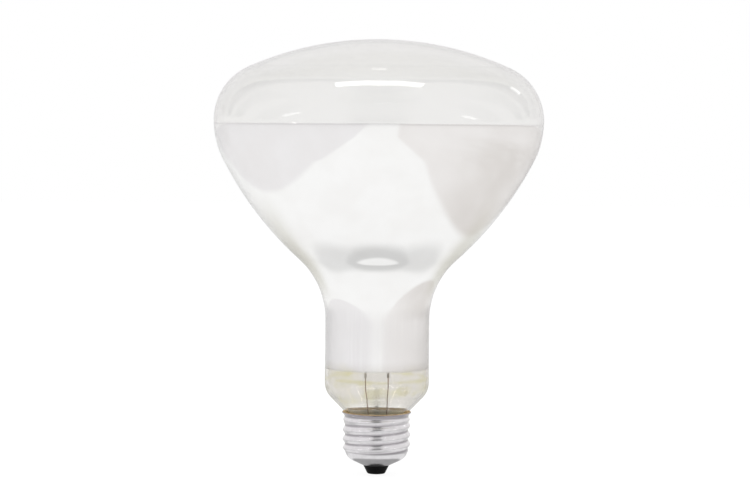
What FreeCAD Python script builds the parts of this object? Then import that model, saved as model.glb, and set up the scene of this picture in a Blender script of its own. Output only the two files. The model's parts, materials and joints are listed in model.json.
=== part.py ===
"""An infrared reflector heat lamp on a medium screw base, as a parametric FreeCAD document.

The lamp stands on its base with its domed face up. The origin is on the lamp's axis, on the flat of
the solder drop that the socket's centre spring presses on, and +Z runs from the base to the face.
All lengths are in millimetres and all angles in degrees.
"""
import FreeCAD
import Part
import math
import os

import Sketcher
from FreeCAD import Placement, Rotation, Vector

# Driving sizes: alias, value, what it is
SIZES = [
    ("bulb_diameter", 127.0, "widest outside diameter of the blown bulb"),
    ("glass_wall", 1.1, "wall of the bulb"),
    ("bulb_reach", 112.9, "widest section above the rim of the screw cup"),
    ("face_rise", 31.2, "top of the domed face above the widest section"),
    ("face_radius", 123.0, "radius of the domed face"),
    ("hip_radius", 34.0, "profile radius just below the widest section"),
    ("hip_angle", 27.0, "turn of the hip"),
    ("bowl_radius", 132.0, "profile radius of the reflector bowl"),
    ("neck_diameter", 40.3, "outside diameter of the straight neck"),
    ("neck_fillet", 31.0, "profile radius where the bowl turns into the neck"),
    ("taper_radius", 8.0, "profile radius where the neck starts to close in"),
    ("taper_angle", 44.0, "slope of the closing neck from the axis"),
    ("throat_radius", 1.5, "profile radius where the neck enters the screw cup"),
    ("throat_drop", 1.4, "start of the straight skirt below the rim"),
    ("skirt_depth", 8.1, "lower end of the glass skirt below the rim"),
    ("film_drop", 1.2, "upper edge of the mirror below the widest section"),
    ("film_foot", 16.9, "lower edge of the mirror above the rim"),
    ("film_gap", 0.03, "between the glass and the mirror"),
    ("film_wall", 0.12, "stand-in thickness of the mirror"),
    ("rim_height", 24.1, "rim of the screw cup above the centre contact"),
    ("thread_major", 26.1, "crest diameter of the screw thread"),
    ("thread_minor", 24.4, "root diameter of the screw thread"),
    ("thread_pitch", 3.629, "seven threads to the inch"),
    ("thread_phase", 15.59, "height of a crest on the +X side"),
    ("thread_start", 8.2, "height where the thread runs out at the foot"),
    ("thread_drop", 2.2, "height below the rim where the thread runs out"),
    ("thread_runout", 2.6, "length over which the thread fades"),
    ("bead_drop", 2.6, "rolled bead below the rim"),
    ("bead_height", 0.7, "how far the bead stands out"),
    ("bead_width", 0.75, "half width of the bead"),
    ("cup_wall", 0.3, "sheet of the screw cup"),
    ("lip_radius", 2.6, "profile radius of the flared lip"),
    ("lip_angle", 58.0, "turn of the flared lip"),
    ("heel_radius", 5.0, "profile radius at the foot of the screw cup"),
    ("sole_angle", 25.0, "slope of the cup's sole from level"),
    ("sole_hole", 10.2, "diameter of the hole in the sole"),
    ("sole_height", 3.6, "edge of that hole above the centre contact"),
    ("cement_wall", 0.7, "basing cement between the cup and the glass skirt"),
    ("cement_depth", 7.0, "lower end of the cement below the rim"),
    ("cement_rise", 0.75, "cement bead above the rim"),
    ("seat_gap", 0.05, "clearance between pieces that seat on each other"),
    ("solder_height", 0.35, "drop of solder below the insulator"),
    ("solder_flat", 1.8, "diameter of the flat on the drop"),
    ("solder_width", 3.4, "diameter of the drop on the contact"),
    ("solder_fill", 3.0, "solder up the hole of the contact"),
    ("contact_diameter", 5.2, "head of the centre contact"),
    ("contact_head", 0.4, "thickness of that head"),
    ("contact_shank", 2.6, "outside diameter of its tube"),
    ("contact_bore", 1.2, "hole down its tube"),
    ("contact_proud", 0.9, "tube above the insulator"),
    ("tip_diameter", 6.8, "foot of the insulator's cone"),
    ("flange_diameter", 17.2, "insulator inside the screw cup"),
    ("flange_height", 6.7, "top of the insulator above the centre contact"),
    ("flare_foot", 1.2, "height of the flare's sealed edge"),
    ("flare_radius", 5.0, "profile radius of the flare"),
    ("flare_edge", 17.8, "inside diameter of the flare's edge"),
    ("stem_diameter", 12.0, "outside diameter of the stem tube"),
    ("stem_wall", 1.1, "wall of the stem tube"),
    ("stem_length", 11.0, "top of the round stem tube above the seal"),
    ("pinch_rise", 8.0, "length over which the tube flattens"),
    ("pinch_width", 11.4, "width of the pinched seal"),
    ("pinch_depth", 4.6, "thickness of the pinched seal"),
    ("pinch_length", 5.4, "height of the pinched seal"),
    ("bore_stop", 1.5, "top of the stem's bore below the pinched seal"),
    ("bore_width", 7.0, "width of the bore at its top"),
    ("bore_depth", 3.4, "thickness of the bore at its top"),
    ("exhaust_diameter", 3.2, "outside diameter of the exhaust tube"),
    ("exhaust_wall", 0.7, "its wall"),
    ("exhaust_drop", 4.5, "its closed tip below the seal"),
    ("exhaust_tip", 2.2, "length of the closed tip"),
    ("rod_diameter", 3.0, "glass rod that carries the filament supports"),
    ("rod_root", 2.5, "rod sunk in the pinched seal"),
    ("button_diameter", 6.0, "glass button on the rod"),
    ("button_drop", 13.0, "centre of the button below the filament"),
    ("mount_length", 46.5, "filament above the pinched seal"),
    ("ring_radius", 14.0, "radius of the filament's arc"),
    ("ring_arc", 260.0, "angle that the filament spans"),
    ("coil_diameter", 1.2, "outside diameter of the coiled filament"),
    ("support_wire", 0.4, "diameter of the filament supports"),
    ("support_play", 0.12, "clearance of a support's hook round the coil"),
    ("support_grip", 250.0, "angle that a hook wraps the coil"),
    ("support_root", 1.4, "inner end of a support from the axis"),
    ("inner_lead", 0.9, "diameter of the leads inside the bulb"),
    ("outer_lead", 0.36, "diameter of the leads inside the base"),
    ("lead_spread", 4.4, "leads from the axis in the pinched seal"),
    ("lead_weld", 2.4, "weld of the two leads above the foot of the pinched seal"),
    ("lead_rise", 3.0, "straight lead above the pinched seal"),
    ("lead_post", 10.0, "upright lead below the filament"),
    ("lead_hook", 3.0, "end of a lead that runs into the filament"),
    ("lead_bend", 1.8, "bend radius of the inner leads"),
    ("wire_bend", 1.2, "bend radius of the outer leads"),
    ("side_lead_foot", 2.6, "side lead from the axis at the foot of the stem"),
    ("centre_lead_foot", 3.6, "centre lead from the axis at the foot of the stem"),
    ("side_lead_drop", 2.8, "side lead passes this far below the seal"),
    ("side_lead_lap", 0.35, "end of the side lead past the lip"),
    ("lead_clear", 0.1, "between the side lead and the edge of the lip"),
    ("side_solder_size", 1.7, "diameter of the drop of solder on the lip"),
]
SUPPORT_COUNT = 5
THREAD_ROWS = 11
THREAD_COLUMNS = 40
PROFILE_ROWS = 5
# Longest part of a straight run that the bend at one of its ends may take
BEND_SHARE = 0.45

doc = FreeCAD.newDocument("heat_lamp")
sheet = doc.addObject("Spreadsheet::Sheet", "sizes")
for row, (alias, value, meaning) in enumerate(SIZES, start=1):
    sheet.set(f"A{row}", meaning)
    sheet.set(f"B{row}", str(value))
    sheet.setAlias(f"B{row}", alias)
doc.recompute()


def number(expression):
    """The value of an expression in the sheet's sizes, as a plain number."""
    return float(sheet.evalExpression(str(expression)))


def size(alias):
    """One driving size."""
    return number(f"sizes.{alias}")


# Heights and radii that several pieces share, as expressions in the sheet's sizes
BULB_RADIUS = "sizes.bulb_diameter / 2"
EQUATOR = "(sizes.rim_height + sizes.bulb_reach)"
SEAL = "(sizes.rim_height - sizes.skirt_depth)"
THROAT = "(sizes.rim_height - sizes.throat_drop)"
ROOT_RADIUS = "(sizes.thread_minor / 2)"
CUP_BORE = "(sizes.thread_minor / 2 - sizes.cup_wall)"
SKIRT_RADIUS = "(sizes.thread_minor / 2 - sizes.cup_wall - sizes.cement_wall)"
SKIRT_BORE = "(sizes.thread_minor / 2 - sizes.cup_wall - sizes.cement_wall - sizes.glass_wall)"
STEM_TOP = "(sizes.rim_height - sizes.skirt_depth + sizes.stem_length)"
PINCH_FOOT = "(sizes.rim_height - sizes.skirt_depth + sizes.stem_length + sizes.pinch_rise)"
PINCH_TOP = f"({PINCH_FOOT} + sizes.pinch_length)"
BORE_TOP = f"({PINCH_FOOT} - sizes.bore_stop)"
LEAD_WELD = f"({PINCH_FOOT} + sizes.lead_weld)"
FILAMENT_HEIGHT = f"({PINCH_TOP} + sizes.mount_length)"
BUTTON_HEIGHT = f"({FILAMENT_HEIGHT} - sizes.button_drop)"
SOLE_TOP = "(sizes.sole_height + sizes.cup_wall / cos(sizes.sole_angle * 1deg))"


def sine(angle):
    return math.sin(math.radians(angle))


def cosine(angle):
    return math.cos(math.radians(angle))


# Sketches


def origin_plane(body, role):
    """One of a body's own origin planes."""
    return next(f for f in body.Origin.OriginFeatures if f.Role == role)


def sketch_on(body, name, role, height=None):
    """A sketch on one of the body's origin planes, lifted along its normal by an expression."""
    sketch = body.newObject("Sketcher::SketchObject", name)
    sketch.AttachmentSupport = [(origin_plane(body, role), "")]
    sketch.MapMode = "FlatFace"
    if height is not None:
        sketch.setExpression("AttachmentOffset.Base.z", height)
    return sketch


def bind(sketch, kind, *where, to):
    """Adds a dimension to a sketch and binds it to an expression in the sheet's sizes."""
    value = math.radians(number(to)) if kind == "Angle" else number(to)
    index = sketch.addConstraint(Sketcher.Constraint(kind, *where, value))
    sketch.setExpression(f"Constraints[{index}]", to)


def place(sketch, geometry, point, radius, height):
    """Ties a point of a half-section to its radius and its height."""
    for kind, axis, expression in (("DistanceX", -2, radius), ("DistanceY", -1, height)):
        if expression == "0":
            sketch.addConstraint(Sketcher.Constraint("PointOnObject", geometry, point, axis))
        else:
            bind(sketch, kind, -1, 1, geometry, point, to=expression)


def flat(radius, height):
    """A point of a half-section in its sketch."""
    return Vector(radius, height, 0)


def arc_of(centre, radius, start, end):
    """A counter-clockwise arc between two angles."""
    circle = Part.Circle(centre, Vector(0, 0, 1), radius)
    return Part.ArcOfCircle(circle, math.radians(start), math.radians(end))


def half_section(body, name, corners):
    """A closed half-section through corners, each (radius, height) or (radius, height, arc radius).

    A corner with an arc radius is joined to the next corner by an arc that turns clockwise about its
    centre if the arc radius starts with a minus sign, and counter-clockwise if it doesn't.
    """
    sketch = sketch_on(body, name, "XZ_Plane")
    points = [flat(number(corner[0]), number(corner[1])) for corner in corners]
    ends = []
    for index, corner in enumerate(corners):
        start, end = points[index], points[(index + 1) % len(points)]
        if len(corner) == 2:
            geometry = sketch.addGeometry(Part.LineSegment(start, end))
            ends.append((geometry, 1, 2))
            continue
        clockwise = corner[2].startswith("-")
        first, last = (end, start) if clockwise else (start, end)
        chord = last - first
        radius = number(corner[2].lstrip("-"))
        rise = math.sqrt(radius**2 - (chord.Length / 2) ** 2)
        left = Vector(-chord.y, chord.x, 0).normalize()
        centre = (first + last) / 2 + left * rise
        angles = [math.degrees(math.atan2(p.y - centre.y, p.x - centre.x)) for p in (first, last)]
        geometry = sketch.addGeometry(arc_of(centre, radius, *angles))
        ends.append((geometry, 2, 1) if clockwise else (geometry, 1, 2))
    for index, (geometry, start, end) in enumerate(ends):
        following, opening, _ = ends[(index + 1) % len(ends)]
        sketch.addConstraint(Sketcher.Constraint("Coincident", geometry, end, following, opening))
    for (geometry, start, _), corner in zip(ends, corners):
        place(sketch, geometry, start, corner[0], corner[1])
        if len(corner) == 3:
            bind(sketch, "Radius", geometry, to=corner[2].lstrip("-"))
    return sketch


def revolved(body, name, sketch):
    """A half-section turned a whole round about the lamp's axis."""
    turn = body.newObject("PartDesign::Revolution", name)
    turn.Profile = sketch
    turn.ReferenceAxis = (sketch, ["V_Axis"])
    turn.Angle = 360
    return turn


def turned_piece(name, corners):
    """A body turned from one half-section."""
    body = doc.addObject("PartDesign::Body", name)
    revolved(body, f"{name}_turn", half_section(body, f"{name}_section", corners))
    return body


# Booleans and wires


def less(name, base, *tools):
    """The base piece with each tool cut from it."""
    for index, tool in enumerate(tools, start=1):
        cut = doc.addObject("Part::Cut", f"{name}_cut_{index}")
        cut.Base = base
        cut.Tool = tool
        base = cut
    return base


def rounded_path(points, bend):
    """Straight runs through the points, with each corner rounded by a tangent arc."""
    edges = []
    here = points[0]
    for before, corner, after in zip(points, points[1:], points[2:]):
        back = (before - corner).normalize()
        ahead = (after - corner).normalize()
        half_turn = (math.pi - back.getAngle(ahead)) / 2
        room = min((before - corner).Length, (after - corner).Length) * BEND_SHARE
        setback = min(bend * math.tan(half_turn), room)
        radius = setback / math.tan(half_turn)
        inward = (back + ahead).normalize()
        middle = corner + inward * (radius / math.cos(half_turn) - radius)
        start, end = corner + back * setback, corner + ahead * setback
        edges.append(Part.LineSegment(here, start).toShape())
        edges.append(Part.Arc(start, middle, end).toShape())
        here = end
    edges.append(Part.LineSegment(here, points[-1]).toShape())
    return Part.Wire(edges)


def swept_wire(name, path, diameter):
    """A round wire along a path."""
    first = path.Edges[0]
    start = first.valueAt(first.FirstParameter)
    along = first.tangentAt(first.FirstParameter)
    section = Part.Wire(Part.Circle(start, along, diameter / 2).toShape())
    feature = doc.addObject("Part::Feature", name)
    feature.Shape = path.makePipeShell([section], True, False)
    return feature


# Blown bulb and its mirror


def bulb_geometry(inset):
    """The bulb's outline, inset from the outside: arcs and lines from the top of the face to the skirt.

    Each arc meets the next without a corner, so its ends follow from the radii: the shoulder's radius
    from the face and the widest section, and the turn of the bowl from the neck and its fillet.
    """
    widest = number(BULB_RADIUS) - inset
    equator = number(EQUATOR)
    face = size("face_radius") - inset
    rise = size("face_rise") - inset
    shoulder = (2 * face * rise - rise**2 - widest**2) / (2 * (face - widest))
    face_centre = flat(0, equator + rise - face)
    shoulder_centre = flat(widest - shoulder, equator)
    lean = math.degrees(math.atan2(equator - face_centre.y, shoulder_centre.x))

    hip = size("hip_radius") - inset
    hip_angle = size("hip_angle")
    bowl = size("bowl_radius") - inset
    fillet = size("neck_fillet") + inset
    neck = size("neck_diameter") / 2 - inset
    hip_centre = flat(widest - hip, equator)
    slope = flat(cosine(hip_angle), -sine(hip_angle))
    bowl_centre = hip_centre + slope * (hip - bowl)
    bowl_angle = math.degrees(math.acos((neck + fillet - bowl_centre.x) / (bowl + fillet)))
    out = flat(cosine(bowl_angle), -sine(bowl_angle))
    fillet_centre = bowl_centre + out * (bowl + fillet)

    taper = size("taper_radius") - inset
    throat = size("throat_radius") + inset
    angle = size("taper_angle")
    skirt = number(SKIRT_RADIUS) - inset
    throat_centre = flat(skirt + throat, number(THROAT))
    cone_end = throat_centre + flat(-cosine(angle), sine(angle)) * throat
    cone_length = (neck - skirt - (taper + throat) * (1 - cosine(angle))) / sine(angle)
    cone_start = cone_end + flat(sine(angle), cosine(angle)) * cone_length
    taper_centre = cone_start - flat(cosine(angle), -sine(angle)) * taper
    return [
        arc_of(face_centre, face, lean, 90),
        arc_of(shoulder_centre, shoulder, 0, lean),
        arc_of(hip_centre, hip, -hip_angle, 0),
        arc_of(bowl_centre, bowl, -bowl_angle, -hip_angle),
        arc_of(fillet_centre, fillet, 180 - bowl_angle, 180),
        Part.LineSegment(flat(neck, fillet_centre.y), flat(neck, taper_centre.y)),
        arc_of(taper_centre, taper, -angle, 0),
        Part.LineSegment(cone_start, cone_end),
        arc_of(throat_centre, throat, 180 - angle, 180),
        Part.LineSegment(flat(skirt, throat_centre.y), flat(skirt, number(SEAL))),
    ]


def bulb_outline(sketch, inset):
    """Adds one outline of the bulb to a sketch, inset by an expression, and ties it to the sizes."""
    face, shoulder, hip, bowl, fillet, neck, taper, cone, throat, skirt = sketch.addGeometry(
        bulb_geometry(number(inset))
    )
    constrain = Sketcher.Constraint
    sketch.addConstraint(
        [
            constrain("PointOnObject", face, 2, -2),
            constrain("PointOnObject", face, 3, -2),
            constrain("Tangent", face, 1, shoulder, 2),
            constrain("Horizontal", shoulder, 1, shoulder, 3),
            constrain("Tangent", shoulder, 1, hip, 2),
            constrain("Tangent", hip, 1, bowl, 2),
            constrain("Tangent", bowl, 1, fillet, 1),
            constrain("Tangent", fillet, 2, neck, 1),
            constrain("Vertical", neck),
            constrain("Tangent", neck, 2, taper, 2),
            constrain("Tangent", taper, 1, cone, 1),
            constrain("Tangent", cone, 2, throat, 1),
            constrain("Tangent", throat, 2, skirt, 1),
            constrain("Vertical", skirt),
        ]
    )
    bind(sketch, "Radius", face, to=f"sizes.face_radius - {inset}")
    bind(sketch, "DistanceY", -1, 1, face, 2, to=f"{EQUATOR} + sizes.face_rise - {inset}")
    bind(sketch, "DistanceX", -1, 1, shoulder, 1, to=f"{BULB_RADIUS} - {inset}")
    bind(sketch, "DistanceY", -1, 1, shoulder, 1, to=EQUATOR)
    bind(sketch, "Radius", hip, to=f"sizes.hip_radius - {inset}")
    bind(sketch, "Angle", hip, to="sizes.hip_angle * 1deg")
    bind(sketch, "Radius", bowl, to=f"sizes.bowl_radius - {inset}")
    bind(sketch, "Radius", fillet, to=f"sizes.neck_fillet + {inset}")
    bind(sketch, "DistanceX", -1, 1, neck, 1, to=f"sizes.neck_diameter / 2 - {inset}")
    bind(sketch, "Radius", taper, to=f"sizes.taper_radius - {inset}")
    bind(sketch, "Angle", taper, to="sizes.taper_angle * 1deg")
    bind(sketch, "Radius", throat, to=f"sizes.throat_radius + {inset}")
    bind(sketch, "DistanceX", -1, 1, skirt, 1, to=f"{SKIRT_RADIUS} - {inset}")
    bind(sketch, "DistanceY", -1, 1, skirt, 1, to=THROAT)
    bind(sketch, "DistanceY", -1, 1, skirt, 2, to=SEAL)
    return face, skirt


def bulb_wall(name, outside, inside):
    """A body of revolution between two insets of the bulb's outline."""
    body = doc.addObject("PartDesign::Body", name)
    sketch = sketch_on(body, f"{name}_section", "XZ_Plane")
    outer_face, outer_skirt = bulb_outline(sketch, outside)
    inner_face, inner_skirt = bulb_outline(sketch, inside)
    for outer, inner in (((outer_face, 2), (inner_face, 2)), ((outer_skirt, 2), (inner_skirt, 2))):
        ends = [sketch.getPoint(*outer), sketch.getPoint(*inner)]
        closing = sketch.addGeometry(Part.LineSegment(*ends))
        sketch.addConstraint(Sketcher.Constraint("Coincident", closing, 1, *outer))
        sketch.addConstraint(Sketcher.Constraint("Coincident", closing, 2, *inner))
    revolved(body, f"{name}_turn", sketch)
    return body


def glass_envelope():
    """The blown glass: one wall from the face to the end of the skirt."""
    return bulb_wall("glass_blank", "0", "sizes.glass_wall")


def reflector_film():
    """The mirror on the inside of the bowl and neck."""
    outside = "(sizes.glass_wall + sizes.film_gap)"
    lining = bulb_wall("film_lining", outside, f"({outside} + sizes.film_wall)")
    band = doc.addObject("Part::Cylinder", "film_band")
    band.setExpression("Radius", "sizes.bulb_diameter")
    band.setExpression("Height", "sizes.bulb_reach - sizes.film_drop - sizes.film_foot")
    band.setExpression("Placement.Base.z", "sizes.rim_height + sizes.film_foot")
    film = doc.addObject("Part::Common", "film_trim")
    film.Base = lining
    film.Tool = band
    return film


# Stem and filament mount


def flare_body():
    """The stem: a flared tube whose upper end is pinched flat."""
    edge = SKIRT_BORE
    tube = "sizes.stem_diameter / 2"
    bore = "(sizes.stem_diameter / 2 - sizes.stem_wall)"
    spread = f"({edge} - {tube})"
    waist = f"({SEAL} + sizes.flare_foot + sqrt(2 * {spread} * sizes.flare_radius - {spread} ^ 2))"
    inner_arc = "(sizes.flare_radius + sizes.stem_wall)"
    inner_reach = f"({bore} + {inner_arc} - sizes.flare_edge / 2)"
    inner_foot = f"({waist} - sqrt({inner_arc} ^ 2 - {inner_reach} ^ 2))"
    body = doc.addObject("PartDesign::Body", "stem_blank")
    section = half_section(
        body,
        "flare_section",
        [
            (edge, SEAL),
            (edge, f"{SEAL} + sizes.flare_foot", "-sizes.flare_radius"),
            (tube, waist),
            (tube, STEM_TOP),
            (bore, STEM_TOP),
            (bore, waist, inner_arc),
            ("sizes.flare_edge / 2", inner_foot),
        ],
    )
    revolved(body, "flare_turn", section)
    doc.recompute()
    pinched_loft(body, "PartDesign::AdditiveLoft", "pinch_outside", tube, PINCH_FOOT, "pinch")
    pinched_loft(body, "PartDesign::SubtractiveLoft", "pinch_bore", bore, BORE_TOP, "bore")
    seal = sketch_on(body, "seal_outline", "XY_Plane", PINCH_FOOT)
    flat_oval(seal, "sizes.pinch_width / 2", "sizes.pinch_depth / 2")
    pad = body.newObject("PartDesign::Pad", "seal_pad")
    pad.Profile = seal
    pad.setExpression("Length", "sizes.pinch_length")
    return body


def pinched_loft(body, kind, name, radius, height, oval):
    """Lofts the round tube, from its top, into a flat oval at a height."""
    circle = sketch_on(body, f"{name}_round", "XY_Plane", STEM_TOP)
    four_arc_circle(circle, radius)
    end = sketch_on(body, f"{name}_oval", "XY_Plane", height)
    flat_oval(end, f"sizes.{oval}_width / 2", f"sizes.{oval}_depth / 2")
    loft = body.newObject(kind, name)
    loft.Profile = circle
    loft.Sections = [end]
    return loft


def four_arc_circle(sketch, radius):
    """A circle in four arcs, to pair with the four edges of a flat oval."""
    value = number(radius)
    quarters = [arc_of(Vector(0, 0, 0), value, start, start + 90) for start in (45, 135, 225, 315)]
    arcs = sketch.addGeometry(quarters)
    for index, arc in enumerate(arcs):
        following = arcs[(index + 1) % len(arcs)]
        sketch.addConstraint(Sketcher.Constraint("Coincident", arc, 2, following, 1))
        sketch.addConstraint(Sketcher.Constraint("Coincident", arc, 3, -1, 1))
    bind(sketch, "Radius", arcs[0], to=radius)
    bind(sketch, "DistanceX", -1, 1, arcs[0], 1, to=f"{radius} * cos(45deg)")
    sketch.addConstraint(Sketcher.Constraint("Symmetric", arcs[0], 1, arcs[0], 2, -2))
    sketch.addConstraint(Sketcher.Constraint("Symmetric", arcs[0], 1, arcs[2], 2, -1))
    sketch.addConstraint(Sketcher.Constraint("Vertical", arcs[0], 2, arcs[1], 2))


def flat_oval(sketch, half_width, half_depth):
    """Two flat sides joined by half-round ends."""
    depth = number(half_depth)
    reach = number(half_width) - depth
    top, left, bottom, right = sketch.addGeometry(
        [
            Part.LineSegment(Vector(reach, depth, 0), Vector(-reach, depth, 0)),
            arc_of(Vector(-reach, 0, 0), depth, 90, 270),
            Part.LineSegment(Vector(-reach, -depth, 0), Vector(reach, -depth, 0)),
            arc_of(Vector(reach, 0, 0), depth, -90, 90),
        ]
    )
    for first, end, second, start in (
        (top, 2, left, 1),
        (left, 2, bottom, 1),
        (bottom, 2, right, 1),
        (right, 2, top, 1),
    ):
        sketch.addConstraint(Sketcher.Constraint("Tangent", first, end, second, start))
    sketch.addConstraint(Sketcher.Constraint("Symmetric", left, 3, right, 3, -1, 1))
    sketch.addConstraint(Sketcher.Constraint("PointOnObject", right, 3, -1))
    bind(sketch, "DistanceY", -1, 1, top, 1, to=half_depth)
    bind(sketch, "DistanceX", -1, 1, right, 3, to=f"{half_width} - {half_depth}")


def exhaust_tube():
    """The tube that the bulb was pumped out through, closed at its tip."""
    outer = "sizes.exhaust_diameter / 2"
    inner = "(sizes.exhaust_diameter / 2 - sizes.exhaust_wall)"
    tip = f"({SEAL} - sizes.exhaust_drop)"
    return turned_piece(
        "exhaust_tube",
        [
            ("0", tip),
            (outer, f"{tip} + sizes.exhaust_tip"),
            (outer, BORE_TOP),
            (inner, BORE_TOP),
            (inner, f"{tip} + sizes.exhaust_tip"),
            ("0", f"{tip} + sizes.exhaust_wall"),
        ],
    )


def rod_blank():
    """The glass rod on the pinched seal and the button on its end."""
    rod = doc.addObject("Part::Cylinder", "rod")
    rod.setExpression("Radius", "sizes.rod_diameter / 2")
    rod.setExpression("Height", f"{BUTTON_HEIGHT} - {PINCH_TOP} + sizes.rod_root")
    rod.setExpression("Placement.Base.z", f"{PINCH_TOP} - sizes.rod_root")
    button = doc.addObject("Part::Sphere", "button")
    button.setExpression("Radius", "sizes.button_diameter / 2")
    button.setExpression("Placement.Base.z", BUTTON_HEIGHT)
    blank = doc.addObject("Part::Fuse", "rod_blank")
    blank.Base = rod
    blank.Tool = button
    return blank


def filament():
    """The coiled filament, as the round rod that its coil fills, in an arc open to the front."""
    coil = doc.addObject("Part::Torus", "filament")
    coil.setExpression("Radius1", "sizes.ring_radius")
    coil.setExpression("Radius2", "sizes.coil_diameter / 2")
    coil.setExpression("Angle3", "sizes.ring_arc")
    coil.setExpression("Placement.Base.z", FILAMENT_HEIGHT)
    coil.setExpression("Placement.Rotation.Angle", "90deg - sizes.ring_arc * 0.5deg")
    return coil


def filament_support(index):
    """A hook wire from the button to the filament: a straight run and an arc round the coil."""
    span = size("ring_arc")
    angle = 90 - span / 2 + (index + 1) * span / (SUPPORT_COUNT + 1)
    ring = Vector(size("ring_radius"), 0, number(FILAMENT_HEIGHT))
    root = Vector(size("support_root"), 0, number(BUTTON_HEIGHT))
    wrap = (size("coil_diameter") + size("support_wire")) / 2 + size("support_play")
    run = ring - root
    tangent_turn = math.asin(wrap / run.Length)
    heading = math.atan2(run.z, run.x) - tangent_turn
    touch = root + Vector(math.cos(heading), 0, math.sin(heading)) * (
        run.Length * math.cos(tangent_turn)
    )
    start = math.atan2(touch.z - ring.z, touch.x - ring.x)
    grip = math.radians(size("support_grip"))
    middle, end = (
        ring + Vector(math.cos(start + turn), 0, math.sin(start + turn)) * wrap
        for turn in (grip / 2, grip)
    )
    path = Part.Wire(
        [Part.LineSegment(root, touch).toShape(), Part.Arc(touch, middle, end).toShape()]
    )
    path.rotate(Vector(0, 0, 0), Vector(0, 0, 1), angle)
    return swept_wire(f"filament_support_{index + 1}", path, size("support_wire"))


def inner_lead(name, side):
    """A stiff lead from the pinched seal up to one end of the filament; side is -1 or 1 along X."""
    reach = size("ring_radius")
    end_angle = 90 - side * size("ring_arc") / 2
    end = Vector(cosine(end_angle) * reach, sine(end_angle) * reach, number(FILAMENT_HEIGHT))
    away = Vector(sine(end_angle), -cosine(end_angle), 0) * side
    corner = end + away * size("lead_hook")
    spread = side * size("lead_spread")
    path = rounded_path(
        [
            Vector(spread, 0, number(LEAD_WELD)),
            Vector(spread, 0, number(PINCH_TOP) + size("lead_rise")),
            corner - Vector(0, 0, size("lead_post")),
            corner,
            end,
        ],
        size("lead_bend"),
    )
    return swept_wire(name, path, size("inner_lead"))


def side_lead():
    """The outer lead that runs out through the cement and over the lip of the screw cup, at the back."""
    foot = -size("side_lead_foot")
    level = number(SEAL) - size("side_lead_drop")
    gap = number(f"({CUP_BORE} + {SKIRT_RADIUS}) / 2")
    angle = size("taper_angle")
    lip_radius, lip_height = cup_lip()
    outer = lip_radius + size("side_lead_lap")
    clear = size("outer_lead") / 2 + size("lead_clear")
    top = lip_height + clear / sine(angle)
    kink = top - (lip_radius - gap) / math.tan(math.radians(angle))
    path = rounded_path(
        [
            Vector(-size("lead_spread"), 0, number(LEAD_WELD)),
            Vector(-size("lead_spread"), 0, number(BORE_TOP)),
            Vector(foot, 0, number(SEAL) + size("side_lead_drop")),
            Vector(foot, 0, level),
            Vector(0, gap, level),
            Vector(0, gap, kink),
            Vector(0, lip_radius, top),
            Vector(0, outer, top),
        ],
        size("wire_bend"),
    )
    return swept_wire("outer_lead_left", path, size("outer_lead"))


def centre_lead():
    """The outer lead that runs down into the centre contact."""
    foot = size("centre_lead_foot")
    mouth = size("flange_height") + size("contact_proud")
    path = rounded_path(
        [
            Vector(size("lead_spread"), 0, number(LEAD_WELD)),
            Vector(size("lead_spread"), 0, number(BORE_TOP)),
            Vector(foot, 0, number(SEAL) + size("side_lead_drop")),
            Vector(foot, 0, number(SEAL) - size("wire_bend")),
            Vector(0, 0, mouth + size("wire_bend")),
            Vector(0, 0, size("solder_height") + size("contact_head")),
        ],
        size("wire_bend"),
    )
    return swept_wire("outer_lead_right", path, size("outer_lead"))


# Base


def cup_lip():
    """Radius and height of the lip's inner edge, which is the highest point of the screw cup."""
    turn = size("lip_angle")
    radius = size("lip_radius")
    wall = size("cup_wall")
    edge = number(ROOT_RADIUS) + radius * (1 - cosine(turn)) - wall * cosine(turn)
    return edge, size("rim_height") + wall * sine(turn)


def cup_profile(inset):
    """The screw cup's section without its thread, inset from the outside, from the sole to the lip.

    A straight sole, the round heel, a straight wall at the thread's root and a lip that flares out.
    """
    root = number(ROOT_RADIUS)
    sole = size("sole_angle")
    heel = size("heel_radius")
    hole = size("sole_hole") / 2
    lip = size("lip_radius")
    turn = size("lip_angle")
    sole_end = root - heel * (1 - sine(sole))
    heel_height = size("sole_height") + (sole_end - hole) * math.tan(math.radians(sole))
    heel_centre = (root - heel, heel_height + heel * cosine(sole))
    lip_start = size("rim_height") - lip * sine(turn)
    lip_centre = (root + lip, lip_start)
    pitch_rows = math.ceil((lip_start - heel_centre[1]) / size("thread_pitch") * THREAD_ROWS)
    span = heel - inset
    sole_run = heel_centre[0] + span * sine(sole) - hole
    sole_edge = size("sole_height") + inset / cosine(sole)
    points = []
    for row in range(PROFILE_ROWS):
        step = sole_run * row / PROFILE_ROWS
        points.append((hole + step, sole_edge + step * math.tan(math.radians(sole))))
    for row in range(PROFILE_ROWS + 1):
        angle = -90 + sole + (90 - sole) * row / PROFILE_ROWS
        points.append((heel_centre[0] + span * cosine(angle), heel_centre[1] + span * sine(angle)))
    for row in range(1, pitch_rows):
        height = heel_centre[1] + (lip_start - heel_centre[1]) * row / pitch_rows
        points.append((root - inset, height))
    for row in range(PROFILE_ROWS + 1):
        angle = 180 - turn * row / PROFILE_ROWS
        span = lip + inset
        points.append((lip_centre[0] + span * cosine(angle), lip_centre[1] + span * sine(angle)))
    return points


def smooth_step(value):
    """Rises from 0 to 1 with no corner as value goes from 0 to 1."""
    held = min(max(value, 0.0), 1.0)
    return held * held * (3 - 2 * held)


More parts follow.
